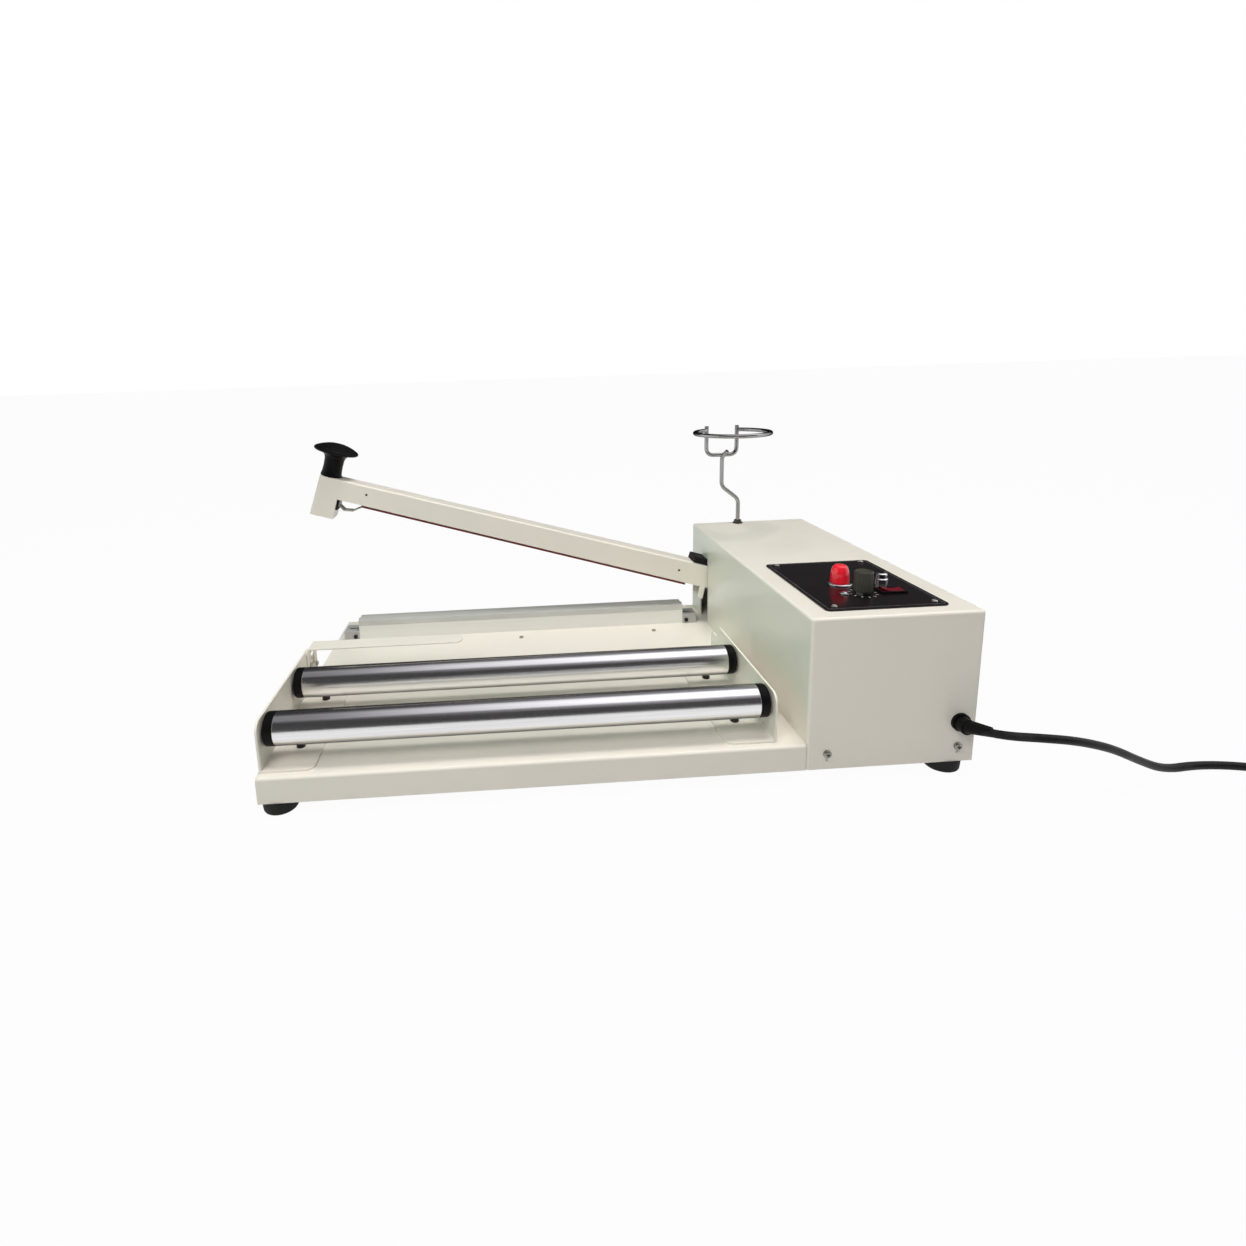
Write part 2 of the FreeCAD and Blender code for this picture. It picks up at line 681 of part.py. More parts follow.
def rocker_bezel():
    """The switch's frame on the panel and its body below, hollow for the button."""
    x, y = panel_point(ROCKER_AT)
    a = ROCKER_LENGTH / 2
    b = ROCKER_WIDTH / 2
    rim = plate(x - a, x + a, y - b, y + b, PANEL_TOP, PANEL_TOP + 2, 1.5)
    low = PANEL_TOP - 22
    body = slab(x - a + 1.2, x + a - 1.2, y - b + 1.2, y + b - 1.2, low, PANEL_TOP)
    well = slab(x - a + 2.5, x + a - 2.5, y - b + 2.5, y + b - 2.5, low + 8, PANEL_TOP + 3)
    tags = [slab(x + dx - 0.4, x + dx + 0.4, y - 2.4, y + 2.4, low - 7, low) for dx in (-7.0, 7.0)]
    holes = rod(V(x, y - b, PANEL_TOP - 3), BACK, 1.2, 2 * b)
    return rim.fuse(body).cut(well).cut(holes).multiFuse(tags)


def rocker_button():
    """The rocking button on its cross pin, at rest with its right end down."""
    x, y = panel_point(ROCKER_AT)
    a = ROCKER_LENGTH / 2 - 3.1
    b = ROCKER_WIDTH / 2 - 2.8
    z = PANEL_TOP - 3
    top = [(-a, 6.2), (-0.5 * a, 4.9), (0, 4.4), (0.5 * a, 4.9), (a, 6.2)]
    outline = [(x + dx, z + dz) for dx, dz in top] + [(x + 0.75 * a, z - 5), (x - 0.75 * a, z - 5)]
    button = side_prism(outline, y - b, y + b)
    pin = rod(V(x, y - ROCKER_WIDTH / 2 + 1.6, z), BACK, 1.15, ROCKER_WIDTH - 3.2)
    button = button.fuse(pin)
    button.rotate(V(x, y, z), BACK, ROCKER_TIP / 2)
    return button


# Film rollers and their brackets
def roller_bracket():
    """The left bracket: an upright plate for the axles with a foot folded inward."""
    x0 = BRACKET_INSET
    x1 = BRACKET_FACE
    foot_top = TRAY_HEIGHT + BRACKET_SHEET
    section = [(x0, TRAY_HEIGHT), (x0 + BRACKET_FLANGE, TRAY_HEIGHT), (x0 + BRACKET_FLANGE, foot_top)]
    section += [(x1, foot_top), (x1, BRACKET_TOP), (x0, BRACKET_TOP)]
    shape = side_prism(section, BRACKET_FRONT, BRACKET_BACK)
    shape = rounded(shape, 3.0, lambda e: runs_along(e, BACK) and on_point(e, x0, TRAY_HEIGHT))
    shape = rounded(shape, 1.0, lambda e: runs_along(e, BACK) and on_point(e, x1, foot_top))
    shape = rounded(shape, BRACKET_CORNER, lambda e: runs_along(e, RIGHT) and middle(e).z > BRACKET_TOP - 1)
    shape = rounded(shape, 8.0, lambda e: runs_along(e, UP) and middle(e).x > x0 + BRACKET_FLANGE - 1)
    tail = slab(x0, x1, BRACKET_BACK - 12, BRACKET_TAIL_BACK, TRAY_HEIGHT + 4, BRACKET_TAIL_TOP)
    tail = rounded(tail, 8.0, lambda e: runs_along(e, RIGHT) and middle(e).y > BRACKET_TAIL_BACK - 1)
    holes = [rod(V(0, y, ROLLER_Z), RIGHT, SHAFT_RADIUS, 10) for y in (FRONT_ROLLER_Y, REAR_ROLLER_Y)]
    holes += [rod(V(0, y, z), RIGHT, 1.6, 10) for y, z in TAB_SCREWS]
    left = BRACKET_INSET + BRACKET_SCREW_IN
    holes += [rod(V(left, y, TRAY_HEIGHT - 1), UP, 2.6, 5) for y in BRACKET_SCREW_YS]
    return shape.fuse(tail).cut(Part.makeCompound(holes))


def on_point(edge, x, z):
    """Whether an edge along Y passes through an (x, z) point."""
    point = middle(edge)
    return math.hypot(point.x - x, point.z - z) < 1e-4


def roller_axles():
    """Two axle rods held in the bracket plates."""
    start = BRACKET_INSET - 1.1
    length = BRACKET_SPAN + 2.2
    return [rod(V(start, y, ROLLER_Z), RIGHT, SHAFT_RADIUS, length) for y in (FRONT_ROLLER_Y, REAR_ROLLER_Y)]


def shaft_clips():
    """Spring clips of one size on the ends of the roller axles and of the pivot pin."""
    clips = []
    for y in (FRONT_ROLLER_Y, REAR_ROLLER_Y):
        clip = washer(V(BRACKET_INSET - 0.9, y, ROLLER_Z), RIGHT, SHAFT_RADIUS, SHAFT_RADIUS + 3.0, 0.9)
        clips += both_sides(clip, BRACKET_MIDDLE)
    reach = CHEEK_INSIDE + HINGE_SHEET
    for y, along in ((ARM_LINE_Y - reach, FRONT), (ARM_LINE_Y + reach, BACK)):
        clips.append(washer(V(PIVOT_X, y, PIVOT_Z), along, SHAFT_RADIUS, SHAFT_RADIUS + 3.0, 0.9))
    return clips


def roller_tube(y):
    """A chromed roller tube between its end caps."""
    start = BRACKET_FACE + ROLLER_END_GAP + ROLLER_CAP
    length = 2 * (BRACKET_MIDDLE - start)
    outer = rod(V(start, y, ROLLER_Z), RIGHT, ROLLER_RADIUS, length)
    return outer.cut(rod(V(start, y, ROLLER_Z), RIGHT, ROLLER_RADIUS - ROLLER_WALL, length))


def roller_caps(y):
    """Black caps plugged into both ends of a roller, with rounded rims and short hubs."""
    face = BRACKET_FACE + ROLLER_END_GAP
    rim = rod(V(face, y, ROLLER_Z), RIGHT, ROLLER_RADIUS, ROLLER_CAP)
    rim = rounded(rim, 3.0, lambda edge: abs(middle(edge).x - face) < 1e-6)
    plug = rod(V(face + ROLLER_CAP, y, ROLLER_Z), RIGHT, ROLLER_RADIUS - ROLLER_WALL, ROLLER_PLUG)
    hub = rod(V(BRACKET_FACE + BODY_GAP, y, ROLLER_Z), RIGHT, 7.5, ROLLER_END_GAP)
    bore = rod(V(0, y, ROLLER_Z), RIGHT, SHAFT_RADIUS + SLIP, 60)
    hollow = rod(V(face + ROLLER_CAP + 2, y, ROLLER_Z), RIGHT, ROLLER_RADIUS - 4, ROLLER_PLUG)
    return both_sides(rim.multiFuse([plug, hub]).cut(hollow).cut(bore), BRACKET_MIDDLE)


def film_separator():
    """A flat strip over the tray, folded down into a tab on the left bracket."""
    x0 = BRACKET_FACE
    back = SEPARATOR_FRONT + SEPARATOR_WIDTH
    low = BRACKET_TOP - SEPARATOR_SHEET
    strip = slab(x0, x0 + SEPARATOR_REACH, SEPARATOR_FRONT, back, low, BRACKET_TOP)
    strip = rounded(strip, 10.0, lambda edge: runs_along(edge, UP) and middle(edge).x > x0 + 1)
    tab = slab(x0, x0 + SEPARATOR_SHEET, TAB_FRONT, TAB_BACK, TAB_BOTTOM, BRACKET_TOP)
    tab = rounded(tab, 6.0, lambda edge: runs_along(edge, RIGHT))
    window = slab(x0 - 1, x0 + 4, TAB_FRONT + 11, TAB_BACK - 11, TAB_BOTTOM + 12, low - 6)
    holes = [rod(V(0, y, z), RIGHT, 1.6, 10) for y, z in TAB_SCREWS]
    return strip.fuse(tab).cut(window).cut(Part.makeCompound(holes))


def deck_screws():
    """Screws of one size through the tray: of the roller brackets and of the hinge bracket."""
    seats = [(x, y, TRAY_HEIGHT + BRACKET_SHEET) for x, y in bracket_screw_places()]
    seats += [(x, y, TRAY_HEIGHT + HINGE_SHEET) for x, y in hinge_screw_places()]
    return [screw(V(*seat), DOWN, 2.5, 9.0, 1.7) for seat in seats]


def tray_nuts():
    """Nuts of one size: on the lips above the feet and under the tray's top."""
    under = TRAY_HEIGHT - SHEET
    nuts = [nut(V(x, y, SHEET), UP, 2.5) for x, y in foot_places()]
    return nuts + [nut(V(x, y, under), DOWN, 2.5) for x, y in bracket_screw_places() + hinge_screw_places()]


# Seal bar
def seal_bar():
    """The bar's hollow extrusion with a channel that is open below."""
    half = BAR_WIDTH / 2
    front = ARM_LINE_Y - half
    back = ARM_LINE_Y + half
    outer = slab(BAR_START, BAR_END, front, back, TRAY_HEIGHT, BAR_TOP)
    outer = rounded(outer, 1.0, lambda edge: runs_along(edge, RIGHT) and middle(edge).z > BAR_TOP - 1)
    wall = BAR_WALL
    x0 = BAR_START - 1
    x1 = BAR_END + 1
    hollow = slab(x0, x1, front + wall, back - wall, TRAY_HEIGHT + wall, BAR_TOP - 2 * wall)
    slot = slab(x0, x1, ARM_LINE_Y - 4, ARM_LINE_Y + 4, TRAY_HEIGHT - 1, TRAY_HEIGHT + 9)
    return outer.cut(hollow).cut(slot)


def under_tape():
    """The thin insulating tape between the bar and the wire."""
    half = BAR_WIDTH / 2 - 3.0
    return slab(BAR_START, BAR_END, ARM_LINE_Y - half, ARM_LINE_Y + half, BAR_TOP, BAR_TOP + TAPE_THICK)


def heating_wire():
    """A flat ribbon over the tape, bent down at both ends onto the end blocks."""
    low = BAR_TOP + TAPE_THICK
    block = TRAY_HEIGHT + END_BLOCK_HEIGHT
    out = BAR_START - 1.0
    inn = BAR_END + 1.0
    reach = END_BLOCK_LENGTH / 2 + 4.0
    t = WIRE_THICK
    under = [(out - reach, block), (out, block), (out, low), (inn, low), (inn, block), (inn + reach, block)]
    over = [(inn + reach, block + t), (inn + t, block + t), (inn + t, low + t), (out - t, low + t)]
    over += [(out - t, block + t), (out - reach, block + t)]
    half = WIRE_WIDTH / 2
    return side_prism(under + over, ARM_LINE_Y - half, ARM_LINE_Y + half)


def ptfe_tape():
    """The grey slip tape over the wire, folded down over the bar's upper edges."""
    half = BAR_WIDTH / 2
    t = TAPE_THICK
    low = TAPE_TOP - t
    foot = BAR_TOP - TAPE_DROP
    front = ARM_LINE_Y - half
    back = ARM_LINE_Y + half
    section = [(front - t, foot), (front, foot), (front, low), (back, low), (back, foot), (back + t, foot)]
    section += [(back + t, TAPE_TOP), (front - t, TAPE_TOP)]
    tape = end_prism(section, BAR_START, BAR_END)
    return rounded(tape, 0.3, lambda edge: runs_along(edge, RIGHT) and middle(edge).z > TAPE_TOP - 0.01)


def clamp_screw_xs():
    """X places of the screws in the front faces of the end blocks."""
    return [BAR_START - CLAMP_SCREW_IN, BAR_END + CLAMP_SCREW_IN]


def bar_end_blocks():
    """Grey insulating blocks that hold the wire at both ends of the bar."""
    half = BAR_WIDTH / 2 + END_BLOCK_OVERHANG
    front = ARM_LINE_Y - half
    top = TRAY_HEIGHT + END_BLOCK_HEIGHT
    blocks = []
    for left, hole, x in zip(end_block_places(), end_screw_places(), clamp_screw_xs()):
        block = plate(left, left + END_BLOCK_LENGTH, front, ARM_LINE_Y + half, TRAY_HEIGHT, top, 1.5)
        thread = rod(V(hole[0], hole[1], TRAY_HEIGHT - 1), UP, 2.5, END_BLOCK_HEIGHT - 2)
        clamp = rod(V(x, front - 1, TRAY_HEIGHT + CLAMP_SCREW_UP), BACK, 1.5, 7)
        blocks.append(block.cut(thread).cut(clamp))
    return blocks


def bar_end_screws():
    """Screws up into the end blocks from under the tray, and the clamp screws in their front faces."""
    under = TRAY_HEIGHT - SHEET
    front = ARM_LINE_Y - BAR_WIDTH / 2 - END_BLOCK_OVERHANG
    reach = SHEET + END_BLOCK_HEIGHT - 4.0
    line = TRAY_HEIGHT + CLAMP_SCREW_UP
    screws = [screw(V(x, y, under), UP, 2.5, reach, 1.5) for x, y in end_screw_places()]
    return screws + [screw(V(x, front, line), BACK, 1.5, 5.0) for x in clamp_screw_xs()]


# Arm
def arm_outline(inset):
    """Side outline of the closed arm, or of its hollow when inset by the sheet."""
    left = ARM_HEAD_LEFT + inset
    notch = ARM_HEAD_LEFT + ARM_HEAD_WIDTH - inset
    splay = ARM_HEAD_SPLAY
    low = ARM_HEAD_BOTTOM - inset
    root = ARM_ROOT_BOTTOM - inset
    bottom = ARM_BOTTOM - inset
    tail = ARM_TAIL_X + inset
    outline = [(left - splay, low), (notch, low), (notch, bottom)]
    outline += [(ARM_LEG_X, bottom), (ARM_LEG_X + 1.5, ARM_LEG_BOTTOM + 3 - inset)]
    outline += [(ARM_LEG_X + ARM_LEG_WIDTH + 1, ARM_LEG_BOTTOM - inset), (ARM_LEG_X + ARM_LEG_WIDTH, bottom)]
    outline += [(ARM_LEG_X + 17, bottom), (ARM_LEG_X + 21, root), (tail, root)]
    outline += [(tail, arm_top(ARM_TAIL_X) - inset), (left, ARM_HEAD_TOP - inset)]
    return outline


def arm_channel():
    """The arm: a deep inverted channel with a boxed head, a root and a leg beside the box."""
    half = ARM_WIDTH / 2
    outer = side_prism(arm_outline(0), ARM_LINE_Y - half, ARM_LINE_Y + half)
    outer = rounded(outer, 2.5, lambda edge: along_top(edge))
    inner = side_prism(arm_outline(ARM_SHEET), ARM_LINE_Y - half + ARM_SHEET, ARM_LINE_Y + half - ARM_SHEET)
    arm = outer.cut(inner)
    holes = [rod(V(x, 0, z), BACK, 1.6, TRAY_DEPTH) for x, z in ARM_SIDE_HOLES]
    holes.append(rod(V(PIVOT_X, 0, PIVOT_Z), BACK, SHAFT_RADIUS + 2.0, TRAY_DEPTH))
    holes.append(rod(V(SPRING_X, 0, SPRING_PIN_Z), BACK, SPRING_PIN_RADIUS, TRAY_DEPTH))
    holes.append(rod(V(KNOB_X, ARM_LINE_Y, ARM_HEAD_TOP - 6), UP, KNOB_SCREW + 0.1, 12))
    return arm.cut(Part.makeCompound(holes))


def along_top(edge):
    """Whether an edge is one of the arm's two long upper edges."""
    ends = [vertex.Point for vertex in edge.Vertexes]
    if len(ends) < 2 or abs(ends[0].y - ends[1].y) > 1e-6:
        return False
    return min(end.z for end in ends) > ARM_HEAD_TOP - 1e-6


def strip_carrier():
    """The extrusion inside the arm that holds the strip, with walls for the side screws."""
    half = ARM_WIDTH / 2 - ARM_SHEET - 0.05
    web = STRIP_BOTTOM + STRIP_THICK
    grip = STRIP_WIDTH / 2
    low = ARM_BOTTOM
    y = ARM_LINE_Y
    section = [(y - half, low), (y - grip, low), (y - grip, web), (y + grip, web), (y + grip, low)]
    section += [(y + half, low), (y + half, CARRIER_TOP), (y + half - CARRIER_WALL, CARRIER_TOP)]
    section += [(y + half - CARRIER_WALL, web + 2), (y - half + CARRIER_WALL, web + 2)]
    section += [(y - half + CARRIER_WALL, CARRIER_TOP), (y - half, CARRIER_TOP)]
    carrier = end_prism(section, STRIP_START, STRIP_END)
    holes = [rod(V(x, 0, z), BACK, 1.6, TRAY_DEPTH) for x, z in ARM_SIDE_HOLES]
    return carrier.cut(Part.makeCompound(holes))


def silicone_strip():
    """The dark red pressure strip, proud of the arm's lower edge."""
    half = STRIP_WIDTH / 2
    top = STRIP_BOTTOM + STRIP_THICK
    strip = slab(STRIP_START, STRIP_END, ARM_LINE_Y - half, ARM_LINE_Y + half, STRIP_BOTTOM, top)
    return rounded(strip, 1.0, lambda edge: runs_along(edge, RIGHT) and middle(edge).z < STRIP_BOTTOM + 1)


def arm_side_screws():
    """Small screws through both sides of the arm into the strip's carrier."""
    half = ARM_WIDTH / 2
    screws = []
    for x, z in ARM_SIDE_HOLES:
        screws.append(rod(V(x, ARM_LINE_Y - half + 0.3, z), BACK, 1.6, 5.0))
        screws.append(rod(V(x, ARM_LINE_Y + half - 0.3, z), FRONT, 1.6, 5.0))
    return screws


def head_pad():
    """A black rubber pad on the inner side of the arm's head."""
    left = ARM_HEAD_LEFT + ARM_HEAD_WIDTH
    half = ARM_WIDTH / 2 - 4.0
    return slab(left, left + 2.5, ARM_LINE_Y - half, ARM_LINE_Y + half, 42.0, ARM_BOTTOM)


def strip_end_clip():
    """A folded grey clip between the head's pad and the end of the strip."""
    start = ARM_HEAD_LEFT + ARM_HEAD_WIDTH + 2.5
    t = 1.2
    upper = [(start, 56.0), (start, 47.5), (start + 8, 42.5), (start + 20, 44.5), (STRIP_START, 52.5)]
    upper.append((STRIP_START, STRIP_BOTTOM + STRIP_THICK))
    lower = [(STRIP_START - t, STRIP_BOTTOM + STRIP_THICK), (STRIP_START - t, 53.2), (start + 19.6, 45.8)]
    lower += [(start + 8.2, 43.9), (start + t, 48.2), (start + t, 56.0)]
    return side_prism(upper + lower, ARM_LINE_Y - 7, ARM_LINE_Y + 7)


def arm_knob():
    """The hand knob: a waisted stem that flares into a broad domed disc."""
    rim = KNOB_RIM
    top = KNOB_HEIGHT
    seat = arm_top(KNOB_X)
    disc = KNOB_DISC
    profile = [(KNOB_SCREW, 0), (KNOB_STEM, 0), (KNOB_STEM, 2), (KNOB_WAIST + 0.5, 6), (KNOB_WAIST, 13)]
    profile += [(KNOB_WAIST + 0.5, rim - 9), (KNOB_WAIST + 3, rim - 4.5)]
    profile += [(disc - 6, rim - 1.6), (disc - 1, rim - 0.8)]
    profile += [(disc, rim + 0.8), (disc - 1.2, rim + 2.4), (0.75 * disc, rim + 0.55 * (top - rim))]
    profile += [(0.4 * disc, rim + 0.88 * (top - rim)), (0.15 * disc, top), (0, top)]
    profile += [(0, 24), (KNOB_SCREW, 24)]
    return turned(profile, KNOB_X, ARM_LINE_Y, seat + 0.1)


def knob_screw():
    """The screw up into the knob, its head under the arm's top."""
    seat = arm_top(KNOB_X) - ARM_SHEET - 0.2
    return screw(V(KNOB_X, ARM_LINE_Y, seat), UP, KNOB_SCREW, 24.0, 1.6)


def arm_stop_block():
    """A rubber block on the arm whose cut end meets the box's wall when the arm is up."""
    left = ARM_LEG_X - STOP_LENGTH
    half = ARM_WIDTH / 2
    low = arm_top(left) + 0.3
    block = slab(left, left + STOP_LENGTH + 20, ARM_LINE_Y - half, ARM_LINE_Y + half, low, low + STOP_HEIGHT)
    block = raised(block)
    face = TRAY_LENGTH - BODY_GAP
    block = block.cut(slab(face, BOX_RIGHT, 0, TRAY_DEPTH, 0, 2 * BOX_HEIGHT))
    corner = [edge for edge in block.Edges if runs_along(edge, BACK)]
    outer = max(corner, key=lambda edge: middle(edge).z)
    return block.makeFillet(2.0, [outer])


def spring_pin():
    """The cross pin in the arm that the return spring pushes on."""
    half = ARM_WIDTH / 2
    return rod(V(SPRING_X, ARM_LINE_Y - half, SPRING_PIN_Z), BACK, SPRING_PIN_RADIUS, ARM_WIDTH)


def pivot_bushes():
    """Flanged bushes in the arm's sides that run on the pivot pin."""
    bushes = []
    half = ARM_WIDTH / 2
    for y, along in ((ARM_LINE_Y - half - 0.8, BACK), (ARM_LINE_Y + half + 0.8, FRONT)):
        flange = rod(V(PIVOT_X, y, PIVOT_Z), along, SHAFT_RADIUS + 4.0, 0.8)
        sleeve = rod(V(PIVOT_X, y, PIVOT_Z), along, SHAFT_RADIUS + 2.0, 6.0)
        bore = rod(V(PIVOT_X, y, PIVOT_Z), along, SHAFT_RADIUS + SLIP, 6.0)
        bushes.append(flange.fuse(sleeve).cut(bore))
    return bushes


# Hinge, spring, switch and electrical pieces inside the box
def hinge_bracket():
    """Two cheeks with outward feet, joined by a floor plate that also seats the spring."""
    inner = CHEEK_INSIDE
    t = HINGE_SHEET
    x0 = PIVOT_X - HINGE_LENGTH / 2
    x1 = PIVOT_X + HINGE_LENGTH / 2
    floor = TRAY_HEIGHT
    pieces = []
    for side in (-1, 1):
        y = ARM_LINE_Y + side * inner
        low, high = sorted((y, y + side * t))
        cheek = slab(x0, x1, low, high, floor, HINGE_TOP)
        cheek = rounded(cheek, 10.0, lambda e: runs_along(e, BACK) and middle(e).z > HINGE_TOP - 1)
        pieces.append(cheek)
        low, high = sorted((y, y + side * HINGE_FOOT))
        pieces.append(plate(x0, x1, low, high, floor, floor + t, 3.0))
    joined = slab(SPRING_X - 14, x1, ARM_LINE_Y - inner - 1, ARM_LINE_Y + inner + 1, floor, floor + t)
    post = rod(V(SPRING_X, ARM_LINE_Y, floor + t), UP, SPRING_RADIUS - 2 * SPRING_WIRE - 1.0, 5.0)
    bracket = joined.multiFuse(pieces + [post])
    holes = [rod(V(x, y, floor - 1), UP, 2.6, 6) for x, y in hinge_screw_places()]
    holes.append(rod(V(PIVOT_X, 0, PIVOT_Z), BACK, SHAFT_RADIUS, TRAY_DEPTH))
    return bracket.cut(Part.makeCompound(holes))


def pivot_pin():
    """The pivot pin through the cheeks, grooved for its clips."""
    reach = CHEEK_INSIDE + HINGE_SHEET + 3.0
    return rod(V(PIVOT_X, ARM_LINE_Y - reach, PIVOT_Z), BACK, SHAFT_RADIUS, 2 * reach)


def return_spring():
    """The coil spring that pushes the arm up, from its seat to the arm's cross pin."""
    pin = raised(rod(V(SPRING_X, ARM_LINE_Y - 1, SPRING_PIN_Z), BACK, SPRING_PIN_RADIUS, 2))
    low = TRAY_HEIGHT + HINGE_SHEET + SPRING_WIRE
    high = pin.BoundBox.ZMin - 0.1 - SPRING_WIRE
    mean = SPRING_RADIUS - SPRING_WIRE
    helix = Part.makeHelix((high - low) / SPRING_TURNS, high - low, mean)
    section = Part.Wire([Part.makeCircle(SPRING_WIRE, V(mean, 0, 0), BACK)])
    spring = Part.Wire(helix.Edges).makePipeShell([section], True, True)
    spring.translate(V(SPRING_X, ARM_LINE_Y, low))
    return spring


def microswitch():
    """The switch that feels the arm's tail: its body, its lever and its three tags."""
    x = PIVOT_X + SWITCH_FROM_PIVOT
    y = ARM_LINE_Y
    floor = TRAY_HEIGHT
    half = SWITCH_LENGTH / 2
    body = slab(x - half, x + half, y - 3.2, y + 3.2, floor, floor + 10)
    lever = slab(x - 9, x + 9, y - 2, y + 2, floor + 11.2, floor + 11.6)
    stem = slab(x - 9, x - 8, y - 2, y + 2, floor + 10, floor + 11.6)
    button = slab(x - 1, x + 1, y - 1.4, y + 1.4, floor + 10, floor + 11.2)
    return body.multiFuse([lever, stem, button])


def transformer_core():
    """The laminated core with its two windows, standing on the strap's floor."""
    low = TRAY_HEIGHT + STRAP_SHEET
    x0 = CORE_X - CORE_LENGTH / 2
    y0 = CORE_Y - CORE_DEPTH / 2
    block = slab(x0, x0 + CORE_LENGTH, y0, y0 + CORE_DEPTH, low, low + CORE_HEIGHT)
    limb = CORE_LENGTH / 6
    windows = []
    for x in (CORE_X - 2 * limb, CORE_X + limb):
        windows.append(slab(x, x + limb, y0 - 1, y0 + CORE_DEPTH + 1, low + limb, low + CORE_HEIGHT - limb))
    return block.cut(Part.makeCompound(windows))


def transformer_coil():
    """The winding round the core's middle limb."""
    low = TRAY_HEIGHT + STRAP_SHEET
    limb = CORE_LENGTH / 6
    reach = 2 * limb
    side = CORE_DEPTH / 2
    bulge = side + limb
    bottom = low + limb
    top = low + CORE_HEIGHT - limb
    coil = plate(CORE_X - reach, CORE_X + reach, CORE_Y - bulge, CORE_Y + bulge, bottom, top, 6.0)
    return coil.cut(slab(CORE_X - limb, CORE_X + limb, CORE_Y - side, CORE_Y + side, low, top + 1))


def transformer_strap():
    """The sheet strap round the core, with feet on the deck."""
    floor = TRAY_HEIGHT
    t = STRAP_SHEET
    half = CORE_LENGTH / 2
    side = CORE_DEPTH / 2 - 3.0
    top = floor + t + CORE_HEIGHT
    outer = slab(CORE_X - half - t, CORE_X + half + t, CORE_Y - side, CORE_Y + side, floor, top + t)
    inner = slab(CORE_X - half, CORE_X + half, CORE_Y - side - 1, CORE_Y + side + 1, floor + t, top)
    reach = half + STRAP_FOOT
    feet = slab(CORE_X - reach, CORE_X + reach, CORE_Y - side, CORE_Y + side, floor, floor + t)
    holes = [rod(V(x, y, floor - 1), UP, 2.1, 6) for x, y in strap_screw_places()]
    return outer.cut(inner).fuse(feet).cut(Part.makeCompound(holes))


def timer_board():
    """The timer's circuit board with a relay, two capacitors and a small transformer."""
    x = TRAY_LENGTH + BOARD_IN_BOX
    y = BOARD_Y
    z = TRAY_HEIGHT + BOARD_UP
    face = z + BOARD_THICK
    board = slab(x, x + BOARD_LENGTH, y, y + BOARD_DEPTH, z, face)
    right = x + BOARD_LENGTH - RELAY_INSET
    front = y + RELAY_INSET
    relay = slab(right - RELAY_LENGTH, right, front, front + RELAY_DEPTH, face, face + RELAY_HEIGHT)
    back = y + BOARD_DEPTH - RELAY_INSET
    small = slab(right - COIL_BLOCK, right, back - COIL_BLOCK, back, face, face + COIL_BLOCK)
    cans = [rod(V(x + 3 * CAN_RADIUS, y + k * CAN_RADIUS, face), UP, CAN_RADIUS, CAN_HEIGHT) for k in (4, 7)]
    return board.multiFuse([relay, small] + cans)


def board_posts():
    """Four posts between the deck and the timer's board."""
    xs = [TRAY_LENGTH + BOARD_IN_BOX + dx for dx in (POST_INSET, BOARD_LENGTH - POST_INSET)]
    ys = [BOARD_Y + dy for dy in (POST_INSET, BOARD_DEPTH - POST_INSET)]
    return [rod(V(x, y, TRAY_HEIGHT), UP, 3.0, BOARD_UP) for x in xs for y in ys]


def terminal_block():
    """The terminal block for the mains lead, on the deck behind the gland."""
    x = GLAND_X - 14.0
    y = TERMINAL_Y
    half = TERMINAL_LENGTH / 2
    pitch = TERMINAL_LENGTH / 3
    floor = TRAY_HEIGHT
    block = slab(x - half, x + half, y, y + TERMINAL_DEPTH, floor, floor + TERMINAL_HEIGHT)
    line = y + TERMINAL_DEPTH / 2
    wells = [rod(V(x + dx, line, floor + 6), UP, 2.6, TERMINAL_HEIGHT) for dx in (-pitch, 0, pitch)]
    return block.cut(Part.makeCompound(wells))


# Stand for the hand tool
def gun_stand():
    """The wire post with its crank, and the fork welded across its top."""
    foot = V(STAND_X, STAND_Y, BOX_HEIGHT - 12)
    top_x = STAND_X - STAND_SHIFT
    knee = V(STAND_X, STAND_Y, BOX_HEIGHT + STAND_KNEE)
    crank = V(top_x, STAND_Y, BOX_HEIGHT + STAND_CRANK)
    head = V(top_x, STAND_Y, FORK_BOTTOM - 3)
    spur = V(top_x + 5, STAND_Y - 8, FORK_BOTTOM + 6)
    post = bent_rod([foot, knee, crank, head, spur], STAND_WIRE, STAND_BEND / 2)
    y = STAND_Y
    left = RING_CENTRE[0] - FORK_HALF
    right = RING_CENTRE[0] + FORK_HALF
    tip = RING_Z + 6.0
    fork = [V(left, y, tip), V(left, y, FORK_BOTTOM), V(right, y, FORK_BOTTOM), V(right, y, tip)]
    return post.multiFuse([bent_rod(fork, STAND_WIRE, STAND_BEND), open_ring()])


def open_ring():
    """The open ring that cradles the hand tool, its ends on the fork's prongs."""
    half = math.degrees(math.asin(FORK_HALF / RING_RADIUS)) + 2.0
    centre = V(RING_CENTRE[0], RING_CENTRE[1], RING_Z)
    angle = math.radians(half)
    start = centre + V(RING_RADIUS * math.sin(angle), RING_RADIUS * math.cos(angle), 0)
    heading = V(start.y - centre.y, centre.x - start.x, 0)
    section = Part.Face(Part.Wire([Part.makeCircle(STAND_WIRE, start, heading)]))
    return section.revolve(centre, DOWN, 360 - 2 * half)


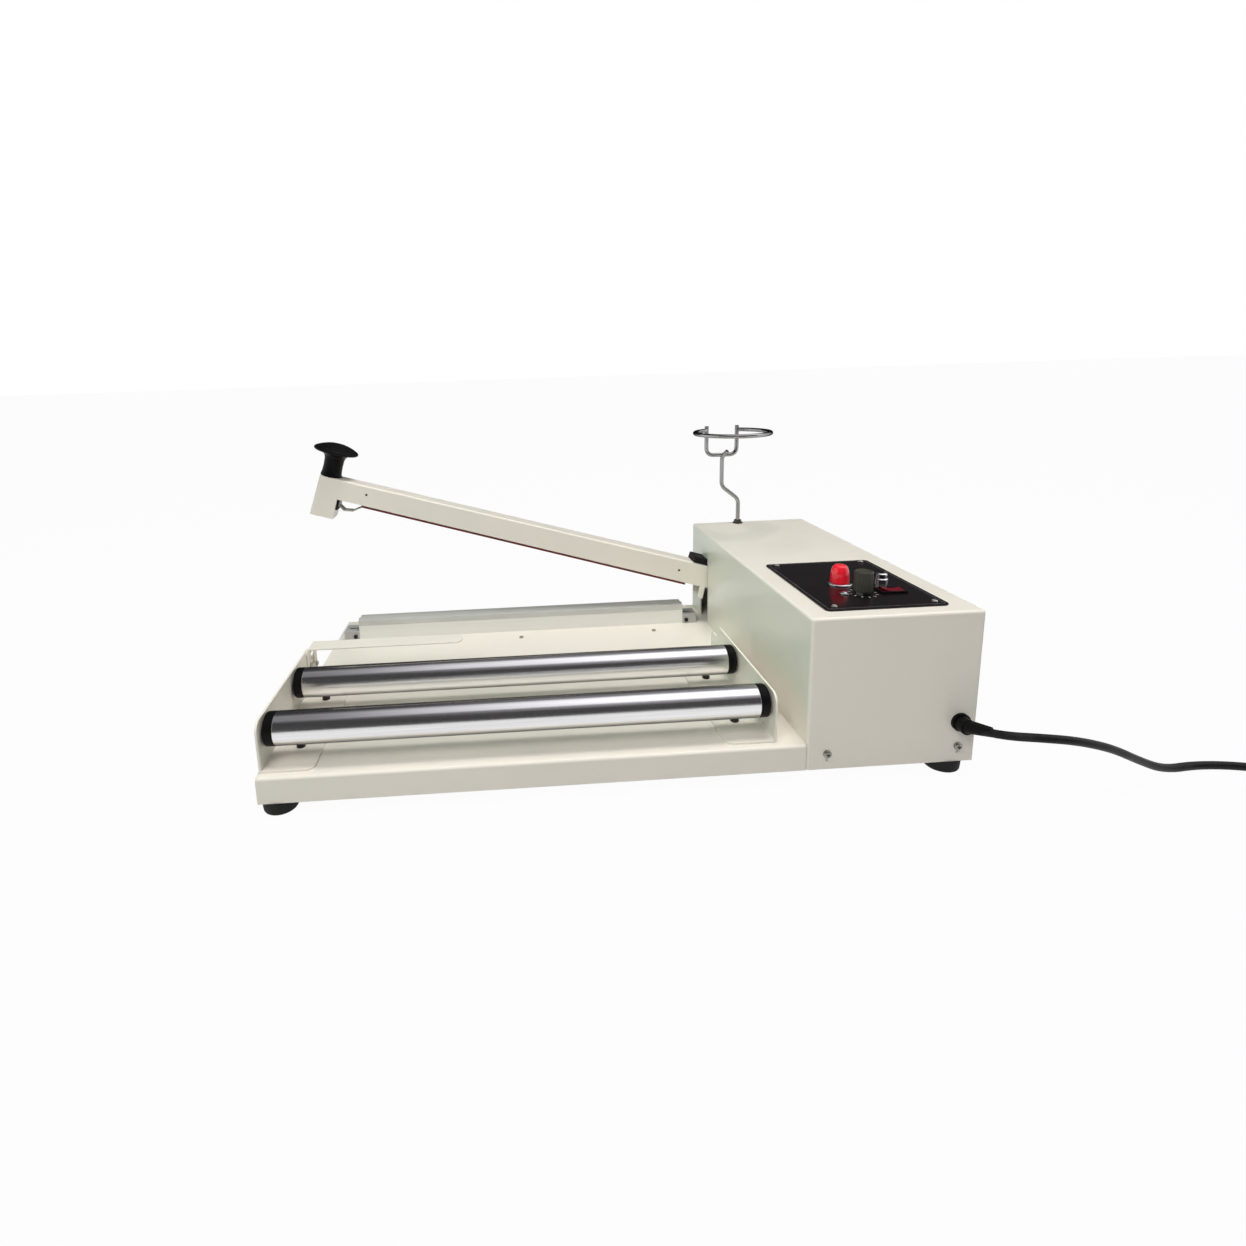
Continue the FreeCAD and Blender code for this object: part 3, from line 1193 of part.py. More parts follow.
def stand_nuts():
    """A flanged nut above the box's top and a nut below it."""
    top = V(STAND_X, STAND_Y, BOX_HEIGHT)
    under = V(STAND_X, STAND_Y, BOX_HEIGHT - SHEET)
    flange = washer(top, UP, STAND_WIRE, 7.0, 1.5)
    upper = nut(top + V(0, 0, 1.5), UP, STAND_WIRE, 3.5, 10.0)
    return [flange.fuse(upper), nut(under, DOWN, STAND_WIRE, 4.5, 10.0)]


# Mains lead
def cord_route():
    """Corner points of the lead from inside the box to its coil."""
    x = GLAND_X
    z = GLAND_Z
    reach = LEAD_REACH
    touch = x + reach
    span = COIL_X - touch
    hanging = [V(x, 14, z), V(x, -12, z + 0.2), V(x + 0.1 * reach, -36, z + 4.7)]
    hanging += [V(x + 0.28 * reach, -50, z + 8.7), V(x + 0.5 * reach, -50, z + 3.7)]
    hanging += [V(x + 0.76 * reach, -43, z - 10.3), V(touch, -32, CORD_FLOOR + 19)]
    lying = [(0.16, -22), (0.31, -18), (0.46, -23), (0.61, -36), (0.77, -48), (1, PLUG_LINE_Y)]
    return hanging + [V(touch + share * span, y, CORD_FLOOR) for share, y in lying]


def cord_coil():
    """The put-away turns of the lead as one rounded ring on the floor."""
    half = COIL_HALF_WIDTH
    inner = COIL_RADIUS - half
    outer = COIL_RADIUS + half
    profile = [(inner, 0), (outer, 0), (outer, COIL_HEIGHT), (inner, COIL_HEIGHT)]
    ring = turned(profile, COIL_X, COIL_Y, FLOOR)
    return rounded(ring, CORD_RADIUS - 0.1, lambda edge: edge.Closed and len(edge.Vertexes) == 1)


def power_cord():
    """The seen run of the lead, and the short end between the coil and the plug."""
    run = bent_rod(cord_route(), CORD_RADIUS)
    tail = rod(V(COIL_X, PLUG_LINE_Y, PLUG_Z), RIGHT, CORD_RADIUS, PLUG_FROM_COIL)
    coil = cord_coil()
    return [run.cut(coil), tail.cut(coil)]


def cord_gland():
    """The black gland on the box's front: a flange, a boss and a tapered boot over the lead."""
    centre = V(GLAND_X, 0, GLAND_Z)
    flange = rod(centre, FRONT, GLAND_RADIUS, 3.0)
    boss = rod(centre, FRONT, GLAND_RADIUS - 1.5, 12.0)
    neck = rod(centre, BACK, GLAND_RADIUS - 2.1, SHEET)
    back = rod(V(GLAND_X, SHEET, GLAND_Z), BACK, GLAND_RADIUS, 4.0)
    route = cord_route()
    along = route[2] - route[1]
    boot = Part.makeCone(GLAND_RADIUS - 2.4, CORD_RADIUS + 0.8, BOOT_LENGTH, route[1] + V(0, 2.5, 0), along)
    solid = flange.multiFuse([boss, neck, back, boot])
    return solid.cut(bent_rod(route[:4], CORD_RADIUS))


def power_plug():
    """The moulded plug with a grip waist, two flat blades and an earth pin, lying on the floor."""
    r = PLUG_RADIUS
    profile = [(CORD_RADIUS, 0), (5.5, 0), (6.5, 14), (9.0, 16), (8.0, 24), (r - 0.7, 34), (r, 36), (r, 44)]
    profile += [(0, 44), (0, 6), (CORD_RADIUS, 6)]
    y = PLUG_LINE_Y
    z = PLUG_Z
    body = pointed(turned(profile, 0, 0, 0), V(PLUG_X - 6, y, z), RIGHT)
    face = PLUG_X - 6 + 44
    blades = [slab(face, face + 16, y + dy - 0.8, y + dy + 0.8, z - 1, z + 5) for dy in (-6, 6)]
    pin = rod(V(face, y, z - 5), RIGHT, 2.4, 18)
    return body.multiFuse(blades + [pin])


def closed_arm_pieces():
    """The arm's pieces, each turned up to the arm's rest."""
    pieces = {
        "arm_channel": [arm_channel()],
        "strip_carrier": [strip_carrier()],
        "silicone_strip": [silicone_strip()],
        "arm_side_screws": arm_side_screws(),
        "head_pad": [head_pad()],
        "strip_end_clip": [strip_end_clip()],
        "arm_knob": [arm_knob()],
        "knob_screw": [knob_screw()],
        "spring_pin": [spring_pin()],
        "pivot_bushes": pivot_bushes(),
    }
    return {name: [raised(shape) for shape in shapes] for name, shapes in pieces.items()}


def standing_pieces():
    """Every piece that is drawn where it stays."""
    left = roller_bracket()
    right = both_sides(left, BRACKET_MIDDLE)[1]
    return {
        "base_tray": [base_tray()],
        "rubber_feet": rubber_feet(),
        "foot_screws": foot_screws(),
        "tray_nuts": tray_nuts(),
        "control_box_cover": [control_box_cover()],
        "box_screws": box_screws(),
        "control_panel": [control_panel()],
        "small_screws": small_screws(),
        "pilot_lamp_lens": [pilot_lamp_lens()],
        "pilot_lamp_bezel": [pilot_lamp_bezel()],
        "timer_body": [timer_body()],
        "timer_knob": [timer_knob()],
        "indicator": [indicator()],
        "fuse_holder": [fuse_holder()],
        "rocker_bezel": [rocker_bezel()],
        "rocker_button": [rocker_button()],
        "roller_bracket_left": [left],
        "roller_bracket_right": [right],
        "deck_screws": deck_screws(),
        "roller_axles": roller_axles(),
        "shaft_clips": shaft_clips(),
        "front_roller_tube": [roller_tube(FRONT_ROLLER_Y)],
        "front_roller_caps": roller_caps(FRONT_ROLLER_Y),
        "rear_roller_tube": [roller_tube(REAR_ROLLER_Y)],
        "rear_roller_caps": roller_caps(REAR_ROLLER_Y),
        "film_separator": [film_separator()],
        "seal_bar": [seal_bar()],
        "under_tape": [under_tape()],
        "heating_wire": [heating_wire()],
        "ptfe_tape": [ptfe_tape()],
        "bar_end_blocks": bar_end_blocks(),
        "bar_end_screws": bar_end_screws(),
        "hinge_bracket": [hinge_bracket()],
        "pivot_pin": [pivot_pin()],
        "return_spring": [return_spring()],
        "arm_stop_block": [arm_stop_block()],
        "microswitch": [microswitch()],
        "transformer_core": [transformer_core()],
        "transformer_coil": [transformer_coil()],
        "transformer_strap": [transformer_strap()],
        "timer_board": [timer_board()],
        "board_posts": board_posts(),
        "terminal_block": [terminal_block()],
        "gun_stand": [gun_stand()],
        "stand_nuts": stand_nuts(),
        "cord_gland": [cord_gland()],
        "power_cord": power_cord(),
        "cord_coil": [cord_coil()],
        "power_plug": [power_plug()],
    }


def write(name, shapes):
    """Write one piece, moved so that the origin is under the middle of the machine."""
    shape = shapes[0] if len(shapes) == 1 else Part.makeCompound(shapes)
    shape = shape.copy()
    shape.translate(V(-MIDDLE_X, -MIDDLE_Y, -FLOOR))
    shape.exportStep("parts/%s.step" % name)


def main():
    """Build every piece and write it."""
    os.makedirs("parts", exist_ok=True)
    pieces = standing_pieces()
    pieces.update(closed_arm_pieces())
    for name, shapes in pieces.items():
        write(name, shapes)


main()
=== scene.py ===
"""Studio picture of a tabletop bar sealer: sheet tray, chromed rollers, raised arm, control box."""
import bpy
import bmesh
import json
import math
import numpy as np
from mathutils import Matrix, Vector


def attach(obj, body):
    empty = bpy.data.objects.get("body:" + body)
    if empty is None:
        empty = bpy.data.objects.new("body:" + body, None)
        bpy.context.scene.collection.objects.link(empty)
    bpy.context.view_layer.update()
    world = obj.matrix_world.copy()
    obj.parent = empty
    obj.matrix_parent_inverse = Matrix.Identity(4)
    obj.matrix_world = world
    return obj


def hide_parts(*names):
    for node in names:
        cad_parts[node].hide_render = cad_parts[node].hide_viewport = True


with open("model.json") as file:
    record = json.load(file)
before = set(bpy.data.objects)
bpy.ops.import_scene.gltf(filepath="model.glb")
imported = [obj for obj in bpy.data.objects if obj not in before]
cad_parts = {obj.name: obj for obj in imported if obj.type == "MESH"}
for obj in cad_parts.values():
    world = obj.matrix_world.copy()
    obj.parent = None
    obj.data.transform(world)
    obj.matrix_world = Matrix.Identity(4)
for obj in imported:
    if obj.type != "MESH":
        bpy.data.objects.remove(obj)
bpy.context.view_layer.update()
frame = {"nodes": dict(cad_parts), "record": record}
nodes = frame["nodes"]
bodies = frame["record"]["behaviour"]["bodies"]
body_of_node = {node: body for body, members in bodies.items() for node in members}

# The machine is measured in millimetres from its tray's front left bottom corner
CORNER = np.array((-329.2, -198.0, 12.0))
PIVOT = np.array((578.0, 335.0, 62.0))
ARM_RAISE = math.radians(16.5)
PANEL_TOP = 153.5
PANEL_CENTRE = (595.0, 92.5, PANEL_TOP)
LAMP = (584.0, 90.0)
TIMER = (592.0, 58.0)
INDICATOR = (574.0, 59.0)
DIAL_TICKS = 12.0


def place(x, y, z):
    """A point in millimetres from the tray's corner, as metres in the model's frame."""
    return (np.array((x, y, z), dtype=float) + CORNER) / 1000.0


def placed(points):
    """An array of points in millimetres, as metres in the model's frame."""
    return (np.asarray(points, dtype=float) + CORNER) / 1000.0


def linked(name, data):
    """A new object with this data, in the scene."""
    piece = bpy.data.objects.new(name, data)
    bpy.context.scene.collection.objects.link(piece)
    return piece


def raise_arm(points):
    """Points on the closed arm turned up about the pivot: x and z mix by the raise angle."""
    c, s = math.cos(ARM_RAISE), math.sin(ARM_RAISE)
    offset = np.asarray(points, dtype=float) - PIVOT
    x = offset[..., 0] * c + offset[..., 2] * s
    z = offset[..., 2] * c - offset[..., 0] * s
    return PIVOT + np.stack([x, offset[..., 1], z], axis=-1)


# Camera, fitted to the photograph's straight edges: picture measures in pixels, angles in radians
PICTURE = 1246.0
FOCAL = 680.0
PRINCIPAL = (539.68, 498.20)
SENSOR = 36.0
AZIMUTH, ELEVATION, ROLL = -0.0487934, 0.1879826, -0.0333798
EYE = (240.535, -574.602, 384.493)


def make_camera():
    """The camera where the photograph was taken, aimed by its three axes."""
    level = Vector((math.cos(AZIMUTH), math.sin(AZIMUTH), 0))
    ahead = Vector((-math.sin(AZIMUTH), math.cos(AZIMUTH), 0))
    forward = ahead * math.cos(ELEVATION) - Vector((0, 0, math.sin(ELEVATION)))
    upright = level.cross(forward)
    right = level * math.cos(ROLL) + upright * math.sin(ROLL)
    up = upright * math.cos(ROLL) - level * math.sin(ROLL)
    data = bpy.data.cameras.new("camera")
    data.lens = FOCAL / PICTURE * SENSOR
    data.sensor_width = SENSOR
    data.shift_x = (PICTURE / 2 - PRINCIPAL[0]) / PICTURE
    data.shift_y = -(PICTURE / 2 - PRINCIPAL[1]) / PICTURE
    data.clip_start = 0.01
    camera = linked("camera", data)
    turn = Matrix((right, up, -forward)).transposed().to_4x4()
    camera.matrix_world = Matrix.Translation(Vector(place(*EYE))) @ turn
    bpy.context.scene.camera = camera


make_camera()


# Shader maths
class Value:
    """A shader socket; arithmetic on it adds Math nodes."""

    def __init__(self, tree, socket):
        self.tree = tree
        self.socket = socket

    def other(self, key):
        """Another output of the same node."""
        return Value(self.tree, self.socket.node.outputs[key])

    def math(self, operation, second=0.0, first=None):
        """A Math node on this socket; first is given where this socket comes second."""
        inputs = {0: self if first is None else first, 1: second}
        return self.tree.node("ShaderNodeMath", {"operation": operation}, inputs)

    def __add__(self, other):
        return self.math("ADD", other)

    def __radd__(self, other):
        return self.math("ADD", self, other)

    def __sub__(self, other):
        return self.math("SUBTRACT", other)

    def __rsub__(self, other):
        return self.math("SUBTRACT", self, other)

    def __mul__(self, other):
        return self.math("MULTIPLY", other)

    def __rmul__(self, other):
        return self.math("MULTIPLY", self, other)

    def above(self, level):
        return self.math("GREATER_THAN", level)

    def below(self, level):
        return self.math("LESS_THAN", level)

    def absolute(self):
        return self.math("ABSOLUTE")


class Tree:
    """A node tree being filled, with one method that adds any node."""

    def __init__(self, tree):
        self.tree = tree

    def node(self, kind, settings=None, inputs=None, output=0):
        """Adds a node, sets its settings, then gives its inputs values or links."""
        node = self.tree.nodes.new(kind)
        for key, value in (settings or {}).items():
            if key == "stops":
                ramp = node.color_ramp
                while len(ramp.elements) < len(value):
                    ramp.elements.new(0.5)
                for element, (position, color) in zip(ramp.elements, value):
                    element.position = position
                    element.color = color if len(color) == 4 else (*color, 1.0)
            else:
                setattr(node, key, value)
        for key, value in (inputs or {}).items():
            if isinstance(value, Value):
                self.tree.links.new(value.socket, node.inputs[key])
            else:
                node.inputs[key].default_value = value
        return Value(self, node.outputs[output])

    def object_point(self):
        """Object coordinates, in metres on every piece."""
        return self.node("ShaderNodeTexCoord", output="Object")

    def stretched(self, scale):
        """Object coordinates scaled along each axis."""
        return self.node("ShaderNodeMapping", inputs={"Vector": self.object_point(), "Scale": scale})

    def axes(self, centre=(0.0, 0.0, 0.0)):
        """Object coordinates from a centre, as three values."""
        inputs = {0: self.object_point(), 1: centre}
        offset = self.node("ShaderNodeVectorMath", {"operation": "SUBTRACT"}, inputs)
        x = self.node("ShaderNodeSeparateXYZ", inputs={0: offset})
        return x, x.other(1), x.other(2)

    def noise(self, scale, detail=3.0, roughness=0.5, vector=None):
        """Noise between 0 and 1, in object space unless a vector is given."""
        inputs = {"Vector": vector or self.object_point(), "Scale": scale}
        inputs |= {"Detail": detail, "Roughness": roughness}
        return self.node("ShaderNodeTexNoise", inputs=inputs)

    def mix(self, factor, first, second):
        """A blend of two colours."""
        first = first if isinstance(first, Value) else (*first, 1.0)
        second = second if isinstance(second, Value) else (*second, 1.0)
        inputs = {0: factor, 6: first, 7: second}
        return self.node("ShaderNodeMix", {"data_type": "RGBA"}, inputs, output=2)

    def spread(self, value, low, high, to_low, to_high):
        """A value mapped linearly from one range to another and clamped."""
        inputs = {"Value": value, "From Min": low, "From Max": high, "To Min": to_low, "To Max": to_high}
        return self.node("ShaderNodeMapRange", {"clamp": True}, inputs)

    def plain_to_eye(self):
        """One for rays from the camera, a mirror or glass; zero for the light that falls on things."""
        path = self.node("ShaderNodeLightPath", output="Is Camera Ray")
        return path + path.other("Is Glossy Ray") + path.other("Is Transmission Ray")


class Finish(Tree):
    """A material being made round its main shader."""

    def __init__(self, name, color=(0.8, 0.8, 0.8), roughness=0.5, metallic=0.0):
        self.material = bpy.data.materials.new(name)
        self.material.use_nodes = True
        super().__init__(self.material.node_tree)
        self.shader = self.tree.nodes["Principled BSDF"]
        self.shader.inputs["Base Color"].default_value = (*color, 1.0)
        self.shader.inputs["Roughness"].default_value = roughness
        self.shader.inputs["Metallic"].default_value = metallic
        self.material.diffuse_color = (*color, 1.0)

    def give(self, name, value):
        """Feeds a shader socket from a value or a colour link."""
        self.tree.links.new(value.socket, self.shader.inputs[name])

    def bump(self, height, strength=0.2, distance=0.0002):
        """Bumps the surface by a height."""
        inputs = {"Height": height, "Strength": strength, "Distance": distance}
        self.give("Normal", self.node("ShaderNodeBump", inputs=inputs))

    def surface(self, shader):
        """Sends another shader to the output in place of the main one."""
        self.tree.links.new(shader.socket, self.tree.nodes["Material Output"].inputs["Surface"])

    def fix(self, **sockets):
        """Sets shader sockets that are the same all over."""
        for name, value in sockets.items():
            self.shader.inputs[name.replace("_", " ")].default_value = value
        return self


def powder_coat():
    """Ivory powder coat: soft orange peel, faint tone drift and a few duller patches."""
    finish = Finish("ivory powder coat", (0.80, 0.78, 0.69), 0.34)
    drift = finish.noise(5.0, 2.0)
    grain = finish.noise(900.0, 2.0)
    drifted = finish.spread(drift, 0.3, 0.7, 0.0, 1.0)
    finish.give("Base Color", finish.mix(drifted, (0.80, 0.775, 0.70), (0.835, 0.80, 0.72)))
    dull = finish.noise(22.0, 4.0)
    finish.give("Roughness", finish.spread(dull, 0.3, 0.75, 0.28, 0.42))
    finish.bump(finish.noise(420.0, 1.5) + grain * 0.35, 0.10, 0.00012)
    return finish.fix(Coat_Weight=0.15, Coat_Roughness=0.15).material


def chrome_plate(name, streak=(1.5, 160.0, 160.0), tone=0.86, blur=0.08):
    """Bright plating with fine draw marks along one direction and faint haze."""
    finish = Finish(name, (tone, tone, tone), blur, 1.0)
    marks = finish.noise(6.0, 3.0, vector=finish.stretched(streak))
    haze = finish.noise(14.0, 3.0)
    drawn = finish.spread(marks, 0.35, 0.65, 0.0, 0.7) + haze * 0.3
    dull = (tone * 0.84, tone * 0.84, tone * 0.86)
    finish.give("Base Color", finish.mix(drawn, dull, (tone, tone, tone)))
    finish.give("Roughness", finish.spread(marks, 0.3, 0.75, blur, blur + 0.07))
    finish.bump(marks, 0.01, 0.00001)
    return finish.fix(Specular_Tint=(0.1, 0.1, 0.1, 1.0)).material


def moulded_black():
    """Black moulded plastic with a fine grain and slightly polished patches."""
    finish = Finish("moulded black", (0.008, 0.008, 0.009), 0.38)
    wear = finish.noise(40.0, 3.0)
    finish.give("Roughness", finish.spread(wear, 0.3, 0.7, 0.35, 0.46))
    finish.give("Base Color", finish.mix(wear, (0.003, 0.003, 0.003), (0.006, 0.006, 0.006)))
    finish.bump(finish.noise(1400.0, 2.0), 0.06, 0.0001)
    return finish.fix(Specular_IOR_Level=0.10).material


def black_rubber():
    """Matt black rubber with a dusty bloom."""
    finish = Finish("black rubber", (0.02, 0.02, 0.02), 0.7)
    bloom = finish.noise(60.0, 4.0)
    dusty = finish.spread(bloom, 0.4, 0.8, 0.0, 1.0)
    finish.give("Base Color", finish.mix(dusty, (0.009, 0.009, 0.009), (0.028, 0.027, 0.025)))
    finish.give("Roughness", finish.spread(bloom, 0.3, 0.8, 0.62, 0.85))
    finish.bump(finish.noise(800.0, 2.0), 0.2, 0.0002)
    return finish.fix(Specular_IOR_Level=0.25).material


def panel_film():
    """Glossy black panel with faint smears, a pale line along its edge painted as a reflection, and a ring
    of ticks round the dial.
    """
    finish = Finish("panel film", (0.008, 0.008, 0.011), 0.12)
    smear = finish.noise(26.0, 4.0, vector=finish.stretched((1.0, 2.2, 1.0)))
    black = finish.mix(smear, (0.006, 0.005, 0.006), (0.013, 0.010, 0.012))
    x, y, _ = finish.axes(place(*PANEL_CENTRE))
    inset = (0.060 - x.absolute()).math("MINIMUM", 0.0765 - y.absolute())
    # A thin pale band 3.1 to 3.6 mm in from the panel's edge: a painted reflection, not a printed border.
    painted_edge_reflection = inset.above(0.0031) * inset.below(0.0036)
    across, along, _ = finish.axes(place(*TIMER, PANEL_TOP))
    reach = (across * across + along * along).math("SQRT")
    turn = along.math("ARCTAN2", across)
    ticks = reach.above(0.0114) * reach.below(0.0142) * (turn * DIAL_TICKS).math("COSINE").above(0.82)
    worn = finish.spread(finish.noise(300.0, 3.0), 0.3, 0.7, 0.5, 1.0)
    finish.give("Base Color", finish.mix((painted_edge_reflection * 0.45 + ticks) * worn, black, (0.42, 0.42, 0.43)))
    finish.give("Roughness", finish.spread(smear, 0.4, 0.75, 0.12, 0.26))
    return finish.fix(Specular_IOR_Level=0.22).material


def zinc_plate(name="zinc plate", tone=1.0):
    """Plated steel, cloudy, with fine scratches; tone makes it brighter or duller."""
    dark = (0.22 * tone, 0.21 * tone, 0.185 * tone)
    light = (0.46 * tone, 0.45 * tone, 0.41 * tone)
    finish = Finish(name, light, 0.34, 1.0)
    cloud = finish.noise(90.0, 4.0)
    scratch = finish.noise(30.0, 2.0, vector=finish.stretched((60.0, 4.0, 4.0)))
    finish.give("Base Color", finish.mix(cloud, dark, light))
    finish.give("Roughness", finish.spread(cloud, 0.3, 0.7, 0.28, 0.46))
    finish.bump(scratch, 0.05, 0.0001)
    return finish.material


def bare_aluminium():
    """Extruded aluminium with draw lines along the bar."""
    finish = Finish("bare aluminium", (0.84, 0.84, 0.82), 0.38, 0.35)
    lines = finish.noise(8.0, 3.0, vector=finish.stretched((1.0, 90.0, 90.0)))
    finish.give("Base Color", finish.mix(lines, (0.78, 0.78, 0.76), (0.88, 0.88, 0.85)))
    finish.give("Roughness", finish.spread(lines, 0.3, 0.7, 0.32, 0.48))
    finish.bump(lines, 0.06, 0.0001)
    return finish.material


def slip_tape():
    """Grey coated glass cloth: a plain weave seen through a waxy coat."""
    finish = Finish("slip tape", (0.56, 0.57, 0.55), 0.45)
    along, across, _ = finish.axes()
    weave = (along * 9000.0).math("SINE") * (across * 9000.0).math("SINE")
    smudge = finish.noise(35.0, 4.0, vector=finish.stretched((0.5, 2.0, 2.0)))
    used = finish.spread(smudge, 0.35, 0.75, 0.0, 1.0)
    finish.give("Base Color", finish.mix(used, (0.58, 0.585, 0.565), (0.50, 0.505, 0.485)))
    finish.give("Roughness", finish.spread(smudge, 0.3, 0.7, 0.36, 0.55))
    finish.bump(weave, 0.08, 0.00006)
    return finish.material


def red_silicone():
    """Dark red silicone rubber, satin, with a darker used face."""
    finish = Finish("red silicone", (0.15, 0.012, 0.011), 0.42)
    use = finish.noise(18.0, 4.0, vector=finish.stretched((0.4, 2.0, 2.0)))
    finish.give("Base Color", finish.mix(use, (0.12, 0.008, 0.008), (0.19, 0.015, 0.013)))
    finish.give("Roughness", finish.spread(use, 0.3, 0.7, 0.34, 0.52))
    finish.bump(finish.noise(500.0, 2.0), 0.08, 0.0001)
    return finish.material


def plain_moulding(name, light, dark, rough=0.45):
    """A plain moulded plastic with slow tone drift and a fine grain."""
    finish = Finish(name, light, rough)
    drift = finish.noise(30.0, 3.0)
    finish.give("Base Color", finish.mix(drift, dark, light))
    finish.give("Roughness", finish.spread(drift, 0.3, 0.7, rough - 0.06, rough + 0.08))
    finish.bump(finish.noise(1100.0, 2.0), 0.08, 0.0001)
    return finish.material


def lamp_red():
    """Clear red lamp moulding with a hint of its own glow."""
    finish = Finish("lamp red", (0.75, 0.015, 0.03), 0.14)
    inner = finish.noise(90.0, 2.0)
    finish.give("Base Color", finish.mix(inner, (0.62, 0.008, 0.02), (0.82, 0.02, 0.045)))
    finish.fix(Coat_Weight=0.4, Coat_Roughness=0.04, Emission_Strength=0.18)
    finish.shader.inputs["Emission Color"].default_value = (0.8, 0.01, 0.02, 1.0)
    return finish.material


def switch_red():
    """Dark red switch moulding, satin."""
    finish = Finish("switch red", (0.16, 0.006, 0.012), 0.35)
    inner = finish.noise(60.0, 2.0)
    finish.give("Base Color", finish.mix(inner, (0.09, 0.003, 0.010), (0.16, 0.006, 0.016)))
    return finish.fix(Specular_IOR_Level=0.2).material


def lead_jacket():
    """Black lead jacket, satin, with faint scuffs."""
    finish = Finish("lead jacket", (0.015, 0.015, 0.015), 0.42)
    scuff = finish.noise(55.0, 4.0)
    scuffed = finish.spread(scuff, 0.45, 0.8, 0.0, 1.0)
    finish.give("Base Color", finish.mix(scuffed, (0.006, 0.006, 0.007), (0.022, 0.021, 0.021)))
    finish.give("Roughness", finish.spread(scuff, 0.3, 0.7, 0.36, 0.55))
    finish.bump(finish.noise(900.0, 2.0), 0.08, 0.0001)
    return finish.fix(Specular_IOR_Level=0.18).material


FINISHES = {
    "ivory_paint": powder_coat(),
    "black_rubber": black_rubber(),
    "zinc_steel": zinc_plate(),
    "dark_steel": plain_moulding("dark oxide", (0.018, 0.015, 0.013), (0.008, 0.007, 0.006), 0.45),
    "black_gloss": panel_film(),
    "red_lens": lamp_red(),
    "chrome": chrome_plate("bright plate"),
    "black_plastic": moulded_black(),
    "dark_red_plastic": switch_red(),
    "bare_aluminium": bare_aluminium(),
    "grey_tape": slip_tape(),
    "grey_plastic": plain_moulding("grey moulding", (0.44, 0.44, 0.43), (0.37, 0.37, 0.36)),
    "core_steel": plain_moulding("varnished core", (0.10, 0.085, 0.07), (0.06, 0.05, 0.04), 0.5),
    "coil_wrap": plain_moulding("coil wrap", (0.55, 0.36, 0.10), (0.45, 0.28, 0.07), 0.5),
    "board_green": plain_moulding("board lacquer", (0.03, 0.16, 0.07), (0.02, 0.11, 0.05), 0.35),
    "cord_black": lead_jacket(),
    "red_silicone": red_silicone(),
    "brass": plain_moulding("turned brass", (0.55, 0.40, 0.16), (0.42, 0.30, 0.12), 0.3),
}
SLOT_OF = {row["node"]: row["material_slot"] for row in frame["record"]["subparts"]}
ROLLER_CHROME = chrome_plate("roller chrome", blur=0.20)
# Painted shade: the stand's wire takes the plating at 0.40 tone, under half the bright plate's, for the
# darker surroundings the thin wire reflects.
WIRE_PLATE_PAINTED_DARK = chrome_plate("wire plate darkened as painted shade", (4.0, 4.0, 4.0), 0.40, 0.14)
SCREW_PLATE = zinc_plate("bright zinc", 1.7)
NUT_PLATE = zinc_plate("dull zinc", 0.3)
CLIP_MOULDING = plain_moulding("pale moulding", (0.62, 0.64, 0.58), (0.50, 0.52, 0.47), 0.5)
TIMER_MOULDING = plain_moulding("timer moulding", (0.048, 0.046, 0.034), (0.032, 0.031, 0.023), 0.42)


# Surfaces
MERGE = 1e-6


def make_piece(name, mesh, material, node, sharp=35.0):
    """Links a mesh as a piece that stands for a CAD node, with its body and slot; sharp is in degrees."""
    mesh.polygons.foreach_set("use_smooth", np.ones(len(mesh.polygons), dtype=bool))
    mesh.set_sharp_from_angle(angle=math.radians(sharp))
    piece = linked(name, mesh)
    mesh.materials.append(material)
    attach(piece, body_of_node[node])
    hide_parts(node)
    return piece


def merged(mesh, turn_out=False):
    """Merges a mesh's doubled points, which closes its poles and seams; may turn its faces out."""
    work = bmesh.new()
    work.from_mesh(mesh)
    bmesh.ops.remove_doubles(work, verts=work.verts, dist=MERGE)
    if turn_out:
        bmesh.ops.recalc_face_normals(work, faces=work.faces)
    work.to_mesh(mesh)
    work.free()
    return mesh


def ring_mesh(name, points):
    """A closed mesh over rows of rings in millimetres; each ring joins up, and then to the next."""
    rows, columns = points.shape[:2]
    index = np.arange(rows * columns).reshape(rows, columns)
    index = np.concatenate([index, index[:, :1]], axis=1)
    corners = [index[:-1, :-1], index[:-1, 1:], index[1:, 1:], index[1:, :-1]]
    quads = np.stack(corners, axis=-1).reshape(-1, 4)
    mesh = bpy.data.meshes.new(name)
    mesh.from_pydata(placed(points).reshape(-1, 3).tolist(), [], quads.tolist())
    return merged(mesh, turn_out=True)


def joined(name, meshes):
    """Several meshes as one."""
    work = bmesh.new()
    for mesh in meshes:
        work.from_mesh(mesh)
        bpy.data.meshes.remove(mesh)
    whole = bpy.data.meshes.new(name)
    work.to_mesh(whole)
    work.free()
    return whole


def rounded(before, corner, after, reach, share, steps):
    """A corner as a quadratic blend of its two sides: (1-t)^2 start + 2t(1-t) corner + t^2 end.

    It starts and ends at the reach from the corner, or at a share of the shorter side.
    """
    back, ahead = before - corner, after - corner
    size = min(reach, share * np.linalg.norm(back), share * np.linalg.norm(ahead))
    if size < MERGE:
        return corner[None]
    start = corner + back / np.linalg.norm(back) * size
    end = corner + ahead / np.linalg.norm(ahead) * size
    t = np.linspace(0, 1, steps)[:, None]
    return (1 - t) ** 2 * start + 2 * t * (1 - t) * corner + t ** 2 * end


def soft_profile(profile):
    """A half outline with its corners rounded; a row is (radius, height) or (radius, height, reach)."""
    rows = np.array([row[:2] for row in profile], dtype=float)
    reaches = [row[2] if len(row) > 2 else 0.0 for row in profile[1:-1]]
    corners = zip(rows, rows[1:], rows[2:], reaches)
    middle = [rounded(before, corner, after, reach, 0.49, 6) for before, corner, after, reach in corners]
    return np.concatenate([rows[:1], *middle, rows[-1:]])


